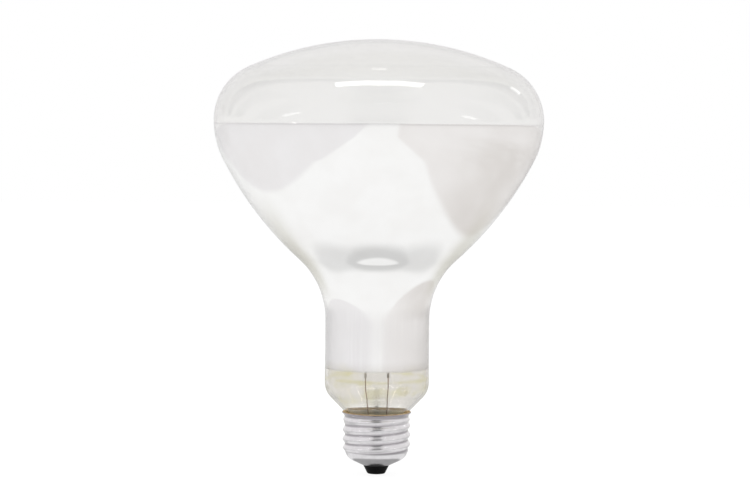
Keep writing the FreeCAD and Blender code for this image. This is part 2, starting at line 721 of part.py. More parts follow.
def thread_height(angle, height):
    """How far the rolled thread and the bead stand out of the wall, at an angle round the axis.

    The thread is a right-hand wave of one pitch, and fades over its run-out at both ends.
    """
    depth = (size("thread_major") - size("thread_minor")) / 2
    fade = size("thread_runout")
    top = size("rim_height") - size("thread_drop")
    share = smooth_step((height - size("thread_start")) / fade) * smooth_step((top - height) / fade)
    turns = (height - size("thread_phase")) / size("thread_pitch") - angle / 360
    wave = share * (1 + math.cos(2 * math.pi * turns)) / 2
    offset = (height - size("rim_height") + size("bead_drop")) / size("bead_width")
    bead = size("bead_height") / depth * math.exp(-(offset**2))
    return depth * (wave + bead - wave * bead)


def screw_cup():
    """The screw cup: thin sheet drawn to a cup, with a rolled thread that shows inside and out.

    Both faces are the plain section pushed out by the thread, as smooth surfaces through a grid.
    """

    def skin(inset):
        columns = []
        for column in range(THREAD_COLUMNS + 1):
            angle = 360 * (column % THREAD_COLUMNS) / THREAD_COLUMNS
            spine = []
            for radius, height in cup_profile(inset):
                radius += thread_height(angle, height)
                spine.append(Vector(radius * cosine(angle), radius * sine(angle), height))
            columns.append(spine)
        surface = Part.BSplineSurface()
        surface.interpolate(columns)
        return surface.toShape()

    def end_edge(face, highest):
        closed = [edge for edge in face.Edges if edge.isClosed()]
        return sorted(closed, key=lambda edge: edge.CenterOfMass.z)[-1 if highest else 0]

    outside = skin(0)
    inside = skin(size("cup_wall"))
    rims = [
        Part.makeRuledSurface(end_edge(outside, highest), end_edge(inside, highest))
        for highest in (False, True)
    ]
    wall = Part.makeCompound([outside, inside, *rims])
    wall.sewShape()
    solid = Part.makeSolid(wall.Shells[0])
    if solid.Volume < 0:
        solid.reverse()
    feature = doc.addObject("Part::Feature", "screw_cup")
    feature.Shape = solid
    return feature


def base_insulator():
    """The black glass between the screw cup and the centre contact, moulded into the cup's sole."""
    foot = "sizes.solder_height"
    head = "(sizes.solder_height + sizes.contact_head)"
    recess = "(sizes.contact_diameter / 2 + sizes.seat_gap)"
    shank = "(sizes.contact_shank / 2 + sizes.seat_gap)"
    collar = "(sizes.sole_hole / 2 - sizes.seat_gap)"
    flange = "sizes.flange_diameter / 2"
    seat = f"({SOLE_TOP} + sizes.seat_gap / cos(sizes.sole_angle * 1deg))"
    rise = f"({flange} - {collar}) * tan(sizes.sole_angle * 1deg)"
    return turned_piece(
        "base_insulator",
        [
            (recess, foot),
            ("sizes.tip_diameter / 2", foot),
            (collar, "sizes.sole_height"),
            (collar, seat),
            (flange, f"{seat} + {rise}"),
            (flange, "sizes.flange_height"),
            (shank, "sizes.flange_height"),
            (shank, f"{head} + sizes.seat_gap"),
            (recess, f"{head} + sizes.seat_gap"),
        ],
    )


def centre_contact():
    """The centre contact: a flat head on a tube that holds the centre lead."""
    foot = "sizes.solder_height"
    head = "(sizes.solder_height + sizes.contact_head)"
    top = "(sizes.flange_height + sizes.contact_proud)"
    return turned_piece(
        "centre_contact",
        [
            ("sizes.contact_bore / 2", foot),
            ("sizes.contact_diameter / 2", foot),
            ("sizes.contact_diameter / 2", head),
            ("sizes.contact_shank / 2", head),
            ("sizes.contact_shank / 2", top),
            ("sizes.contact_bore / 2", top),
        ],
    )


def solder_blank():
    """The solder in the centre contact, with the drop below it worn flat."""
    foot = "sizes.solder_height"
    fill = "(sizes.solder_height + sizes.solder_fill)"
    return turned_piece(
        "centre_solder_blank",
        [
            ("0", "0"),
            ("sizes.solder_flat / 2", "0"),
            ("sizes.solder_width / 2", foot),
            ("sizes.contact_bore / 2", foot),
            ("sizes.contact_bore / 2", fill),
            ("0", fill),
        ],
    )


def cement_blank():
    """The basing cement before the glass and the side lead take their room in it.

    It fills the cup's bore, follows the flared lip at a small clearance and ends in a bead on the glass.
    """
    skirt_middle = f"({SKIRT_RADIUS} - sizes.glass_wall / 2)"
    outside = f"({CUP_BORE} - sizes.seat_gap)"
    lip_start = "(sizes.rim_height - sizes.lip_radius * sin(sizes.lip_angle * 1deg))"
    lip_span = "(sizes.lip_radius + sizes.cup_wall + sizes.seat_gap)"
    lip_centre = f"({ROOT_RADIUS} + sizes.lip_radius)"
    lip_edge = f"({lip_centre} - {lip_span} * cos(sizes.lip_angle * 1deg))"
    lip_top = f"({lip_start} + {lip_span} * sin(sizes.lip_angle * 1deg))"
    bead_top = "(sizes.rim_height + sizes.cement_rise)"
    slope = "tan(sizes.taper_angle * 1deg)"
    throat = "sizes.throat_radius"
    cone_radius = f"({SKIRT_RADIUS} + {throat} * (1 - cos(sizes.taper_angle * 1deg)))"
    cone_height = f"({THROAT} + {throat} * sin(sizes.taper_angle * 1deg))"
    wall_half = "sizes.glass_wall / 2 / cos(sizes.taper_angle * 1deg)"
    cone_middle = f"({cone_radius} + ({bead_top} - {cone_height}) * {slope} - {wall_half})"
    return turned_piece(
        "cement_blank",
        [
            (skirt_middle, "sizes.rim_height - sizes.cement_depth"),
            (outside, "sizes.rim_height - sizes.cement_depth"),
            (outside, lip_start, f"-{lip_span}"),
            (lip_edge, lip_top),
            (cone_middle, bead_top),
            (skirt_middle, THROAT),
        ],
    )


def side_solder_blank():
    """The drop of solder that fixes the side lead on the lip."""
    radius, height = cup_lip()
    drop = doc.addObject("Part::Sphere", "side_solder_blank")
    drop.setExpression("Radius", "sizes.side_solder_size / 2")
    drop.Placement = Placement(Vector(0, radius + size("side_lead_lap") / 2, height), Rotation())
    return drop


# Assembly

envelope = glass_envelope()
supports = [filament_support(index) for index in range(SUPPORT_COUNT)]
inner_left = inner_lead("inner_lead_left", -1)
inner_right = inner_lead("inner_lead_right", 1)
outer_left = side_lead()
outer_right = centre_lead()
cup = screw_cup()
rod = less("support_rod", rod_blank(), *supports)
cement = less("basing_cement", cement_blank(), envelope, outer_left)
nodes = {
    "glass_envelope": envelope,
    "reflector_film": reflector_film(),
    "stem_flare": less(
        "stem_flare", flare_body(), inner_left, inner_right, outer_left, outer_right, rod
    ),
    "exhaust_tube": exhaust_tube(),
    "support_rod": rod,
    "inner_lead_left": inner_left,
    "inner_lead_right": inner_right,
    "outer_lead_left": outer_left,
    "outer_lead_right": outer_right,
    "filament": filament(),
    "screw_shell": cup,
    "base_insulator": base_insulator(),
    "centre_contact": centre_contact(),
    "centre_solder": less("centre_solder", solder_blank(), outer_right),
    "side_solder": less(
        "side_solder", side_solder_blank(), cup, envelope, cement, outer_left
    ),
    "basing_cement": cement,
}
for index, support in enumerate(supports, start=1):
    nodes[f"filament_support_{index}"] = support
doc.recompute()

# Checks and files

failed = [item.Name for item in doc.Objects if {"Invalid", "Error"} & set(item.State)]
if failed:
    raise RuntimeError(f"these objects failed to build: {failed}")
for name, piece in nodes.items():
    piece.Label = name
    if piece.Shape.isNull() or not piece.Shape.isValid() or not piece.Shape.Solids:
        raise RuntimeError(f"{name} has no valid solid")

os.makedirs("parts", exist_ok=True)
for name, piece in nodes.items():
    piece.Shape.exportStep(f"parts/{name}.step")
    print(f"{name}: {len(piece.Shape.Solids)} solid, {piece.Shape.Volume:.2f} mm3")
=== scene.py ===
"""An infrared reflector lamp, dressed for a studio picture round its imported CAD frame.

The lamp stands on +Z, its base at the origin, and the camera looks along +Y. The lamp's sizes are in
millimetres, with heights from the tip of the base. The studio's sizes are in metres.
"""

import json
import logging
from dataclasses import dataclass
from enum import Enum
from functools import reduce

import bpy
import numpy as np
from mathutils import Euler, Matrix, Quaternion, Vector

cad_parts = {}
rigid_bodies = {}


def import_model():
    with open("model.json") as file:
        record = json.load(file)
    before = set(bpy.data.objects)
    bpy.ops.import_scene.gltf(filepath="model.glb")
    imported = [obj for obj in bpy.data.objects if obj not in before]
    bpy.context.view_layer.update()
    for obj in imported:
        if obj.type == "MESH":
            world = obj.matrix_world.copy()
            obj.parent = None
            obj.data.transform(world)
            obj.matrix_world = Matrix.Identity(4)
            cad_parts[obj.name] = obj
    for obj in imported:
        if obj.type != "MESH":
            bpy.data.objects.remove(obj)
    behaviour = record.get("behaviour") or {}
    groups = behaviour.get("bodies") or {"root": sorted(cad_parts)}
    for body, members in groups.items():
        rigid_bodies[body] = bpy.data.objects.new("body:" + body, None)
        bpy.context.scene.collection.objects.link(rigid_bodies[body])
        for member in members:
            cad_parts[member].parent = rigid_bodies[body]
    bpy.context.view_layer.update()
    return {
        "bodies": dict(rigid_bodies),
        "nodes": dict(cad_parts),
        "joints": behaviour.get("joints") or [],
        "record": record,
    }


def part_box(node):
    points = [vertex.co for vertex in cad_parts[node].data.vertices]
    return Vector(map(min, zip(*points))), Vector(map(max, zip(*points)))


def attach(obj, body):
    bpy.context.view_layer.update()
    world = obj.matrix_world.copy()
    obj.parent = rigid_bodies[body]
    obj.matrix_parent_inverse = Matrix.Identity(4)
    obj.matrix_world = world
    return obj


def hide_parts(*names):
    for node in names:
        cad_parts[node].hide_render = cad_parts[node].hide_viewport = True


LOG = logging.getLogger("lamp")
MM = 0.001
BODY = "root"
POLE_WIDTH = 1e-6

# Numbers of a colour mix's sockets, whose names are shared with its other kinds
MIX_SHARE, MIX_FIRST, MIX_SECOND = 0, 6, 7
MIX_RESULT = 2

Colour = tuple[float, float, float]
Point = tuple[float, float, float]
Span = tuple[float, float]
Socket = bpy.types.NodeSocket


class Slot(Enum):
    """The record's material slots."""

    GLASS = "bulb_glass"
    FILM = "silver_film"
    STEM = "stem_glass"
    NICKEL = "nickel_lead"
    COPPER = "copper_lead"
    TUNGSTEN = "tungsten_coil"
    SUPPORT = "support_wire"
    ALUMINIUM = "base_aluminium"
    BLACK = "black_glass"
    BRASS = "contact_brass"
    SOLDER = "tin_solder"
    CEMENT = "brown_cement"


# Node graphs and finishes


class Graph:
    """A short way to add and join the nodes of one tree."""

    def __init__(self, tree: bpy.types.NodeTree) -> None:
        """Empties the tree."""
        self.tree = tree
        tree.nodes.clear()

    def add(self, kind: str, inputs: dict | None = None, **settings: object) -> bpy.types.Node:
        """Adds one node.

        Args:
            kind: The node's class name.
            inputs: Values by socket name or number; an output socket is linked, a colour gets its alpha.
            settings: Attributes of the node.

        Returns:
            The new node.
        """
        node = self.tree.nodes.new(kind)
        for name, value in settings.items():
            setattr(node, name, value)
        for name, value in (inputs or {}).items():
            socket = node.inputs[name]
            if isinstance(value, Socket):
                self.tree.links.new(value, socket)
            elif isinstance(value, tuple) and len(value) < len(socket.default_value):
                socket.default_value = (*value, 1.0)
            else:
                socket.default_value = value
        return node

    def maths(self, operation: str, *values: object) -> Socket:
        """Adds a maths node on the values and returns its result."""
        return self.add("ShaderNodeMath", dict(enumerate(values)), operation=operation).outputs[0]

    def product(self, *values: object) -> Socket:
        """Adds the product of all the values and returns it."""
        return reduce(lambda total, value: self.maths("MULTIPLY", total, value), values)

    def ramp(self, value: Socket, low: float, high: float) -> Socket:
        """Adds a smooth step of a value from 0 at low to 1 at high and returns its result."""
        inputs = {"Value": value, "From Min": low, "From Max": high}
        return self.add("ShaderNodeMapRange", inputs, interpolation_type="SMOOTHSTEP").outputs["Result"]

    def between(self, value: Socket, low: float, high: float) -> Socket:
        """Adds a straight run of a 0 to 1 value between two numbers and returns its result."""
        inputs = {"Value": value, "To Min": low, "To Max": high}
        return self.add("ShaderNodeMapRange", inputs).outputs["Result"]

    def mix(self, share: Socket, first: Colour | Socket, second: Colour | Socket) -> Socket:
        """Adds a mix of two colours and returns its result."""
        inputs = {MIX_SHARE: share, MIX_FIRST: first, MIX_SECOND: second}
        return self.add("ShaderNodeMix", inputs, data_type="RGBA").outputs[MIX_RESULT]

    def place(self) -> Socket:
        """Adds the point in Object coordinates, in metres, and returns it."""
        return self.add("ShaderNodeTexCoord").outputs["Object"]

    def height(self) -> Socket:
        """Adds the point's height in Object coordinates, in metres, and returns it."""
        return self.add("ShaderNodeSeparateXYZ", {0: self.place()}).outputs["Z"]

    def rise(self, low: float, high: float) -> Socket:
        """Adds a smooth step of the height from 0 at low to 1 at high, in millimetres, and returns it."""
        return self.ramp(self.height(), low * MM, high * MM)

    def reach(self, centre: Point = (0.0, 0.0, 0.0), squeeze: Point = (1.0, 1.0, 1.0)) -> Socket:
        """Adds the distance of the point from a centre.

        Args:
            centre: The centre, in metres.
            squeeze: What the distance along X, Y and Z is multiplied by first.

        Returns:
            The distance, in metres.
        """
        away = self.add("ShaderNodeVectorMath", {0: self.place(), 1: centre}, operation="SUBTRACT")
        drawn = self.add("ShaderNodeVectorMath", {0: away.outputs[0], 1: squeeze}, operation="MULTIPLY")
        return self.add("ShaderNodeVectorMath", {0: drawn.outputs[0]}, operation="LENGTH").outputs["Value"]

    def noise(self, size: float, stretch: Point = (1, 1, 1), detail: float = 3) -> Socket:
        """Adds noise on Object coordinates.

        Args:
            size: Width of one patch in millimetres.
            stretch: How many times longer the patches are along X, Y and Z.
            detail: Number of finer layers.

        Returns:
            The noise's value, from about 0.2 to 0.8.
        """
        scale = tuple(1 / (size * MM * length) for length in stretch)
        placed = self.add("ShaderNodeMapping", {"Vector": self.place(), "Scale": scale}).outputs[0]
        inputs = {"Vector": placed, "Scale": 1.0, "Detail": detail}
        return self.add("ShaderNodeTexNoise", inputs).outputs["Fac"]

    def bump(self, height: Socket, depth: float) -> Socket:
        """Adds a bump of a depth in millimetres and returns its normal."""
        inputs = {"Height": height, "Distance": depth * MM, "Strength": 1.0}
        return self.add("ShaderNodeBump", inputs).outputs[0]

    def surface(self, **inputs: object) -> bpy.types.Node:
        """Ends a material's tree in a principled surface; an underscore stands for a space.

        Args:
            inputs: The surface's values.

        Returns:
            The material's output node.
        """
        named = {name.replace("_", " "): value for name, value in inputs.items()}
        shader = self.add("ShaderNodeBsdfPrincipled", named)
        return self.add("ShaderNodeOutputMaterial", {"Surface": shader.outputs[0]})


@dataclass(frozen=True)
class Finish:
    """What every finish has: the slot that it dresses."""

    slot: Slot

    def material(self) -> bpy.types.Material:
        """Builds the finish's material, once.

        Returns:
            The material.
        """
        name = f"{self.slot.value}_finish"
        made = bpy.data.materials.get(name)
        if made is None:
            made = bpy.data.materials.new(name)
            made.use_nodes = True
            self.dress(Graph(made.node_tree))
        return made

    def dress(self, graph: Graph) -> None:
        """Fills the material's tree."""
        raise NotImplementedError


@dataclass(frozen=True)
class Glass(Finish):
    """Clear blown glass with a slow ripple, greyer at the face and stained at the foot.

    Each smear is given by its centre and its radius.
    """

    tint: Colour = (1.0, 1.0, 1.0)
    face: Colour = (0.93, 0.927, 0.923)
    face_fade: Span = (134.0, 136.0)
    foot: Colour = (0.83, 0.815, 0.79)
    foot_fade: Span = (46.0, 40.0)
    throat_fade: Span = (24.5, 26.5)
    stain: Colour = (0.78, 0.755, 0.6)
    stain_size: float = 8.0
    stain_contrast: Span = (0.45, 0.75)
    ring_height: float = 37.7
    ring_width: float = 1.4
    ring_gain: float = 0.2
    smear: Colour = (0.72, 0.685, 0.54)
    smears: tuple[tuple[Point, float], ...] = (((10.7, -17.0, 34.2), 3.2), ((6.0, -9.8, 26.4), 3.0))
    smear_core: float = 0.4
    smear_grain: float = 2.0
    smear_contrast: Span = (0.3, 0.5)
    body: Colour = (0.55, 0.52, 0.25)
    density: float = 10.0
    index: float = 1.35
    ripple: float = 0.01
    ripple_size: float = 14.0
    stretch: Point = (3.0, 3.0, 1.0)

    def stained(self, graph: Graph) -> Socket:
        """Adds the foot's colour, which is stained in patches, more so round one ring, and smeared.

        Args:
            graph: The material's nodes.

        Returns:
            The colour.
        """
        level = graph.maths("SUBTRACT", graph.height(), self.ring_height * MM)
        ring = graph.ramp(graph.maths("ABSOLUTE", level), self.ring_width * MM, 0.0)
        patches = graph.maths("MULTIPLY_ADD", ring, self.ring_gain, graph.noise(self.stain_size))
        colour = graph.mix(graph.ramp(patches, *self.stain_contrast), self.foot, self.stain)
        for centre, radius in self.smears:
            away = graph.reach(tuple(value * MM for value in centre))
            spot = graph.ramp(away, radius * MM, self.smear_core * radius * MM)
            grain = graph.ramp(graph.noise(self.smear_grain), *self.smear_contrast)
            colour = graph.mix(graph.product(spot, grain), colour, self.smear)
        return colour

    def dress(self, graph: Graph) -> None:
        """Fills the material's tree with a surface whose colour changes with height, and a tinted body.

        Args:
            graph: The material's nodes.
        """
        foot = graph.product(graph.rise(*self.foot_fade), graph.rise(*self.throat_fade))
        below = graph.mix(foot, self.tint, self.stained(graph))
        output = graph.surface(
            Base_Color=graph.mix(graph.rise(*self.face_fade), below, self.face),
            Roughness=0.0,
            IOR=self.index,
            Transmission_Weight=1.0,
            Normal=graph.bump(graph.noise(self.ripple_size, self.stretch, 1.0), self.ripple),
        )
        body = graph.add("ShaderNodeVolumeAbsorption", {"Color": self.body, "Density": self.density})
        graph.tree.links.new(body.outputs[0], output.inputs["Volume"])


@dataclass(frozen=True)
class ThinGlass(Finish):
    """Thin clear glass inside the bulb: light goes straight through and takes a breath of colour."""

    tint: Colour = (0.95, 0.93, 0.88)
    stain: Colour = (0.85, 0.81, 0.68)
    contrast: Span = (0.4, 0.7)
    clear: float = 0.03
    cloudy: float = 0.06
    roughness: float = 0.05
    patch: float = 5.0
    ripple: float = 0.02

    def dress(self, graph: Graph) -> None:
        """Fills the material's tree with a surface that covers little, and a little more where stained.

        Args:
            graph: The material's nodes.
        """
        patches = graph.ramp(graph.noise(self.patch), *self.contrast)
        graph.surface(
            Base_Color=graph.mix(patches, self.tint, self.stain),
            Roughness=self.roughness,
            Alpha=graph.between(patches, self.clear, self.cloudy),
            Normal=graph.bump(graph.noise(self.patch, detail=1.0), self.ripple),
        )


@dataclass(frozen=True)
class Film(Finish):
    """A vacuum-coated mirror: cloudy in patches, greyer at its rim, drawn in the neck, thin at its foot.

    In the neck, fine upright streaks spread what the mirror shows sideways.
    """

    bright: Colour = (0.99, 0.99, 0.99)
    dull: Colour = (0.96, 0.955, 0.95)
    cloud_size: float = 16.0
    contrast: Span = (0.3, 0.7)
    rim: Colour = (0.9, 0.895, 0.895)
    rim_fade: Span = (135.1, 135.3)
    streaked: Colour = (0.955, 0.95, 0.95)
    streak_width: float = 0.9
    streak_stretch: Point = (1.0, 1.0, 60.0)
    smooth: float = 0.03
    cloudy: float = 0.06
    drawn: float = 0.12
    spread: float = 0.95
    neck_fade: Span = (68.0, 63.0)
    foot_fade: Span = (41.0, 42.2)
    ripple: float = 0.01
    ripple_size: float = 10.0

    def dress(self, graph: Graph) -> None:
        """Fills the material's tree with a mirror whose colour, gloss and cover change along the bulb.

        Args:
            graph: The material's nodes.
        """
        drift = graph.ramp(graph.noise(self.cloud_size, detail=5.0), *self.contrast)
        streaks = graph.ramp(graph.noise(self.streak_width, self.streak_stretch, 2.0), *self.contrast)
        neck = graph.rise(*self.neck_fade)
        mirror = graph.mix(graph.rise(*self.rim_fade), graph.mix(drift, self.bright, self.dull), self.rim)
        gloss = graph.between(drift, self.smooth, self.cloudy)
        round_axis = graph.add("ShaderNodeTangent", direction_type="RADIAL", axis="Z")
        graph.surface(
            Base_Color=graph.mix(graph.product(neck, streaks), mirror, self.streaked),
            Metallic=1.0,
            Roughness=graph.maths("MULTIPLY_ADD", neck, self.drawn, gloss),
            Anisotropic=self.spread,
            Tangent=round_axis.outputs[0],
            Alpha=graph.rise(*self.foot_fade),
            Normal=graph.bump(graph.noise(self.ripple_size, detail=2.0), self.ripple),
        )


@dataclass(frozen=True)
class Metal(Finish):
    """Drawn or rolled metal: two shades in fine lines, with painted shade in a groove where the mesh marks
    one.
    """

    bright: Colour = (0.8, 0.8, 0.8)
    dull: Colour = (0.6, 0.6, 0.6)
    smooth: float = 0.15
    worn: float = 0.35
    grain: float = 0.6
    stretch: Point = (1.0, 1.0, 1.0)
    depth: float = 0.004
    patch_grains: float = 8.0
    contrast: Span = (0.35, 0.7)
    groove: Colour | None = None

    def dress(self, graph: Graph) -> None:
        """Fills the material's tree with grain, wear and painted shade in the groove.

        Args:
            graph: The material's nodes.
        """
        wear = graph.ramp(graph.noise(self.grain * self.patch_grains), *self.contrast)
        colour = graph.mix(wear, self.bright, self.dull)
        # Painted shade: the groove that the mesh marks is darker
        if self.groove:
            groove_shade = graph.add("ShaderNodeAttribute", attribute_name="groove").outputs["Fac"]
            colour = graph.mix(groove_shade, colour, self.groove)
        graph.surface(
            Base_Color=colour,
            Metallic=1.0,
            Roughness=graph.between(wear, self.smooth, self.worn),
            Normal=graph.bump(graph.noise(self.grain, self.stretch), self.depth),
        )


@dataclass(frozen=True)
class Moulded(Finish):
    """A moulded or poured mass, such as black glass or cement: two shades, a pitted skin and, where given,
    painted light on its inside.
    """

    bright: Colour = (0.5, 0.5, 0.5)
    dull: Colour = (0.4, 0.4, 0.4)
    smooth: float = 0.3
    worn: float = 0.6
    grain: float = 0.5
    depth: float = 0.02
    gloss: float = 0.5
    patch_grains: float = 6.0
    contrast: Span = (0.35, 0.65)
    inner: Colour | None = None
    inner_fade: Span = (11.8, 11.6)

    def dress(self, graph: Graph) -> None:
        """Fills the material's tree with blotches and pits, and painted light on the inside where the mass
        has one.

        Args:
            graph: The material's nodes.
        """
        blotch = graph.ramp(graph.noise(self.grain * self.patch_grains, detail=4.0), *self.contrast)
        colour = graph.mix(blotch, self.bright, self.dull)
        # Painted light: the inside, which sits in shade, is made paler
        if self.inner:
            radius = graph.reach(squeeze=(1.0, 1.0, 0.0))
            inside = graph.ramp(radius, *(limit * MM for limit in self.inner_fade))
            colour = graph.mix(inside, colour, self.inner)
        graph.surface(
            Base_Color=colour,
            Roughness=graph.between(blotch, self.smooth, self.worn),
            Specular_IOR_Level=self.gloss,
            Normal=graph.bump(graph.noise(self.grain, detail=4.0), self.depth),
        )


FINISHES: dict[Slot, Finish] = {
    finish.slot: finish
    for finish in (
        Glass(Slot.GLASS),
        Film(Slot.FILM),
        ThinGlass(Slot.STEM),
        Metal(Slot.NICKEL, (0.62, 0.6, 0.56), (0.4, 0.38, 0.35), grain=0.3, stretch=(1, 1, 12)),
        Metal(Slot.COPPER, (0.55, 0.36, 0.26), (0.28, 0.2, 0.16), grain=0.3, stretch=(1, 1, 12)),
        Metal(Slot.TUNGSTEN, (0.32, 0.32, 0.34), (0.2, 0.2, 0.21), smooth=0.3, worn=0.5, grain=0.2),
        Metal(Slot.SUPPORT, (0.5, 0.5, 0.52), (0.36, 0.36, 0.38), grain=0.2),
        Metal(
            Slot.ALUMINIUM,
            (0.8, 0.785, 0.8),
            (0.75, 0.735, 0.75),
            smooth=0.15,
            worn=0.2,
            grain=0.25,
            stretch=(30, 30, 1),
            depth=0.001,
            # painted shade in the thread's grooves
            groove=(0.42, 0.4, 0.42),
        ),
        Moulded(Slot.BLACK, (0.003, 0.003, 0.0032), (0.005, 0.005, 0.005), 0.3, 0.5, gloss=0.12),
        Metal(Slot.BRASS, (0.78, 0.62, 0.35), (0.6, 0.46, 0.25), grain=0.4),
        Metal(
            Slot.SOLDER,
            (0.7, 0.7, 0.69),
            (0.5, 0.5, 0.49),
            smooth=0.2,
            worn=0.45,
            grain=0.5,
            depth=0.02,
        ),
        Moulded(
            Slot.CEMENT,
            (0.8, 0.6, 0.33),
            (0.7, 0.48, 0.24),
            smooth=0.5,
            worn=0.8,
            grain=0.35,
            # painted light on the inside of the cement, which sits in shade in the base
            inner=(0.97, 0.9, 0.74),
        ),
    )
}


# Meshes


def frame_box(node: str) -> tuple[np.ndarray, np.ndarray]:
    """Returns the lowest and highest corner of a CAD node in millimetres."""
    low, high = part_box(node)
    return np.array(low) / MM, np.array(high) / MM


def heading(angle: float) -> np.ndarray:
    """Returns the direction at an angle in degrees, as radius and height."""
    return np.array([np.cos(np.radians(angle)), np.sin(np.radians(angle))])


def circle(columns: int) -> np.ndarray:
    """Returns equal steps of angle once round, in radians, without the last."""
    return np.linspace(0, 2 * np.pi, columns, endpoint=False)


def quarter(count: int) -> np.ndarray:
    """Returns equal steps of angle over a quarter turn, in radians."""
    return np.radians(np.linspace(0, 90, count))


def arc(centre: np.ndarray, radius: float, start: float, end: float, count: int) -> np.ndarray:
    """Samples an arc without its end point.

    Args:
        centre: Its centre, as radius and height.
        radius: Its radius.
        start: Its first angle in degrees.
        end: Its last angle in degrees.
        count: Number of points.

    Returns:
        The points, one row each.
    """
    angle = np.radians(np.linspace(start, end, count, endpoint=False))
    return centre + radius * np.column_stack([np.cos(angle), np.sin(angle)])


def run(start: np.ndarray, end: np.ndarray, count: int) -> np.ndarray:
    """Samples a straight line without its end point and returns the points, one row each."""
    return np.linspace(start, end, count, endpoint=False)


def soften(corners: list[tuple[float, float]], reach: float, count: int = 6) -> np.ndarray:
    """Rounds every corner of a closed section.

    Each corner becomes a quadratic curve between two points on its sides, which are at the given reach
    from it or, on a short side, at half that side.

    Args:
        corners: The section's corners, as radius and height.
        reach: Distance from a corner at which its round starts.
        count: Number of points on a round.

    Returns:
        The points, one row each.
    """
    middle = np.array(corners, float)
    sides = [np.roll(middle, step, axis=0) - middle for step in (1, -1)]
    lengths = [np.linalg.norm(side, axis=1, keepdims=True) for side in sides]
    first, last = (
        middle + side * np.minimum(reach / length, 0.5)
        for side, length in zip(sides, lengths)
    )
    share = np.linspace(0, 1, count)[None, :, None]
    start = (1 - share) ** 2 * first[:, None]
    bend = 2 * share * (1 - share) * middle[:, None]
    end = share**2 * last[:, None]
    return (start + bend + end).reshape(-1, 2)


def turned(section: np.ndarray, columns: int) -> np.ndarray:
    """Turns a section round the Z axis.

    Args:
        section: Its points, as radius and height; the outside of a wall runs upwards.
        columns: Number of copies round the axis.

    Returns:
        A grid of points, by row of the section and column.
    """
    return ring_grid(section[:, :1], section[:, 1:], circle(columns))


def ring_grid(radius: np.ndarray, height: np.ndarray, angle: np.ndarray) -> np.ndarray:
    """Returns a grid of points from radii, heights and angles that broadcast together."""
    x, y, z = np.broadcast_arrays(radius * np.cos(angle), radius * np.sin(angle), height)
    return np.stack([x, y, z], axis=-1)


def tube(path: np.ndarray, radius: float, across: np.ndarray, columns: int) -> np.ndarray:
    """Sweeps a round section along a path and closes both ends to a point.

    At each point the section's frame is the path's direction, its cross product with a direction that the
    path never follows there, and the cross product of those two.

    Args:
        path: Points along the centre line.
        radius: Radius of the section.
        across: The direction that the path never follows, one for each point.
        columns: Number of points round the section.

    Returns:
        A grid of points, by point of the path and column.
    """
    ahead = np.gradient(path, axis=0)
    ahead /= np.linalg.norm(ahead, axis=1, keepdims=True)
    side = np.cross(across, ahead)
    side /= np.linalg.norm(side, axis=1, keepdims=True)
    up = np.cross(ahead, side)
    angle = circle(columns)[None, :, None]
    rings = path[:, None] + radius * (np.cos(angle) * side[:, None] + np.sin(angle) * up[:, None])
    first, last = (np.repeat(path[index][None, None], columns, axis=1) for index in (0, -1))
    return np.concatenate([first, rings, last])


def skin(name: str, grid: np.ndarray, loop: bool = False) -> bpy.types.Mesh:
    """Makes a closed smooth mesh over a grid that wraps round its columns.

    A row whose points are all one becomes a pole, and the quads beside it become triangles.

    Args:
        name: The mesh's name.
        grid: Points in millimetres, by row and column.
        loop: Whether the last row joins the first.

    Returns:
        The mesh, in metres.
    """
    columns = grid.shape[1]
    pole = np.ptp(grid, axis=1).max(axis=1) < POLE_WIDTH
    kept = ~pole[:, None] | (np.arange(columns) == 0)
    start = np.cumsum(kept.sum(axis=1)) - kept.sum(axis=1)
    index = start[:, None] + np.where(pole[:, None], 0, np.arange(columns))
    lower, upper = (index, np.roll(index, -1, axis=0)) if loop else (index[:-1], index[1:])
    around = [lower, np.roll(lower, -1, axis=1), np.roll(upper, -1, axis=1), upper]
    quads = np.stack(around, axis=-1).reshape(-1, 4)
    single = quads != np.roll(quads, 1, axis=1)
    faces = np.split(quads[single], np.cumsum(single.sum(axis=1))[:-1])
    mesh = bpy.data.meshes.new(name)
    mesh.from_pydata(grid[kept] * MM, [], faces)
    mesh.shade_smooth()
    return mesh


def mark(mesh: bpy.types.Mesh, name: str, values: np.ndarray) -> None:
    """Stores one number for each vertex as an attribute."""
    layer = mesh.attributes.new(name, "FLOAT", "POINT")
    layer.data.foreach_set("value", values.astype(np.float32).ravel())


def put(name: str, data: bpy.types.ID) -> bpy.types.Object:
    """Puts a new object in the scene.

    Args:
        name: The object's name.
        data: Its mesh, light or camera.

    Returns:
        The object.
    """
    item = bpy.data.objects.new(name, data)
    bpy.context.scene.collection.objects.link(item)
    return item


def show(mesh: bpy.types.Mesh, slot: Slot, *nodes: str, crease: float | None = None) -> None:
    """Puts a mesh in the scene as a piece of the lamp.

    Args:
        mesh: The finished mesh.
        slot: The material slot it takes its finish from.
        nodes: The CAD nodes it stands for.
        crease: Edges that turn by more than this many degrees are shaded sharp.
    """
    if crease is not None:
        mesh.set_sharp_from_angle(angle=np.radians(crease))
    mesh.materials.append(FINISHES[slot].material())
    piece = put(mesh.name, mesh)
    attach(piece, BODY)
    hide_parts(*nodes)
    LOG.info("%s: %d faces, %s", piece.name, len(mesh.polygons), slot.value)


def keep(frame: dict, slot: Slot, *nodes: str) -> None:
    """Gives CAD nodes, whose shape is right, a finish.

    Args:
        frame: The loaded frame.
        slot: The material slot of the finish.
        nodes: The nodes' names.
    """
    for node in nodes:
        piece = frame["nodes"][node]
        piece.data.materials.clear()
        piece.data.materials.append(FINISHES[slot].material())
        LOG.info("%s: CAD node, %s", node, slot.value)


# Bulb


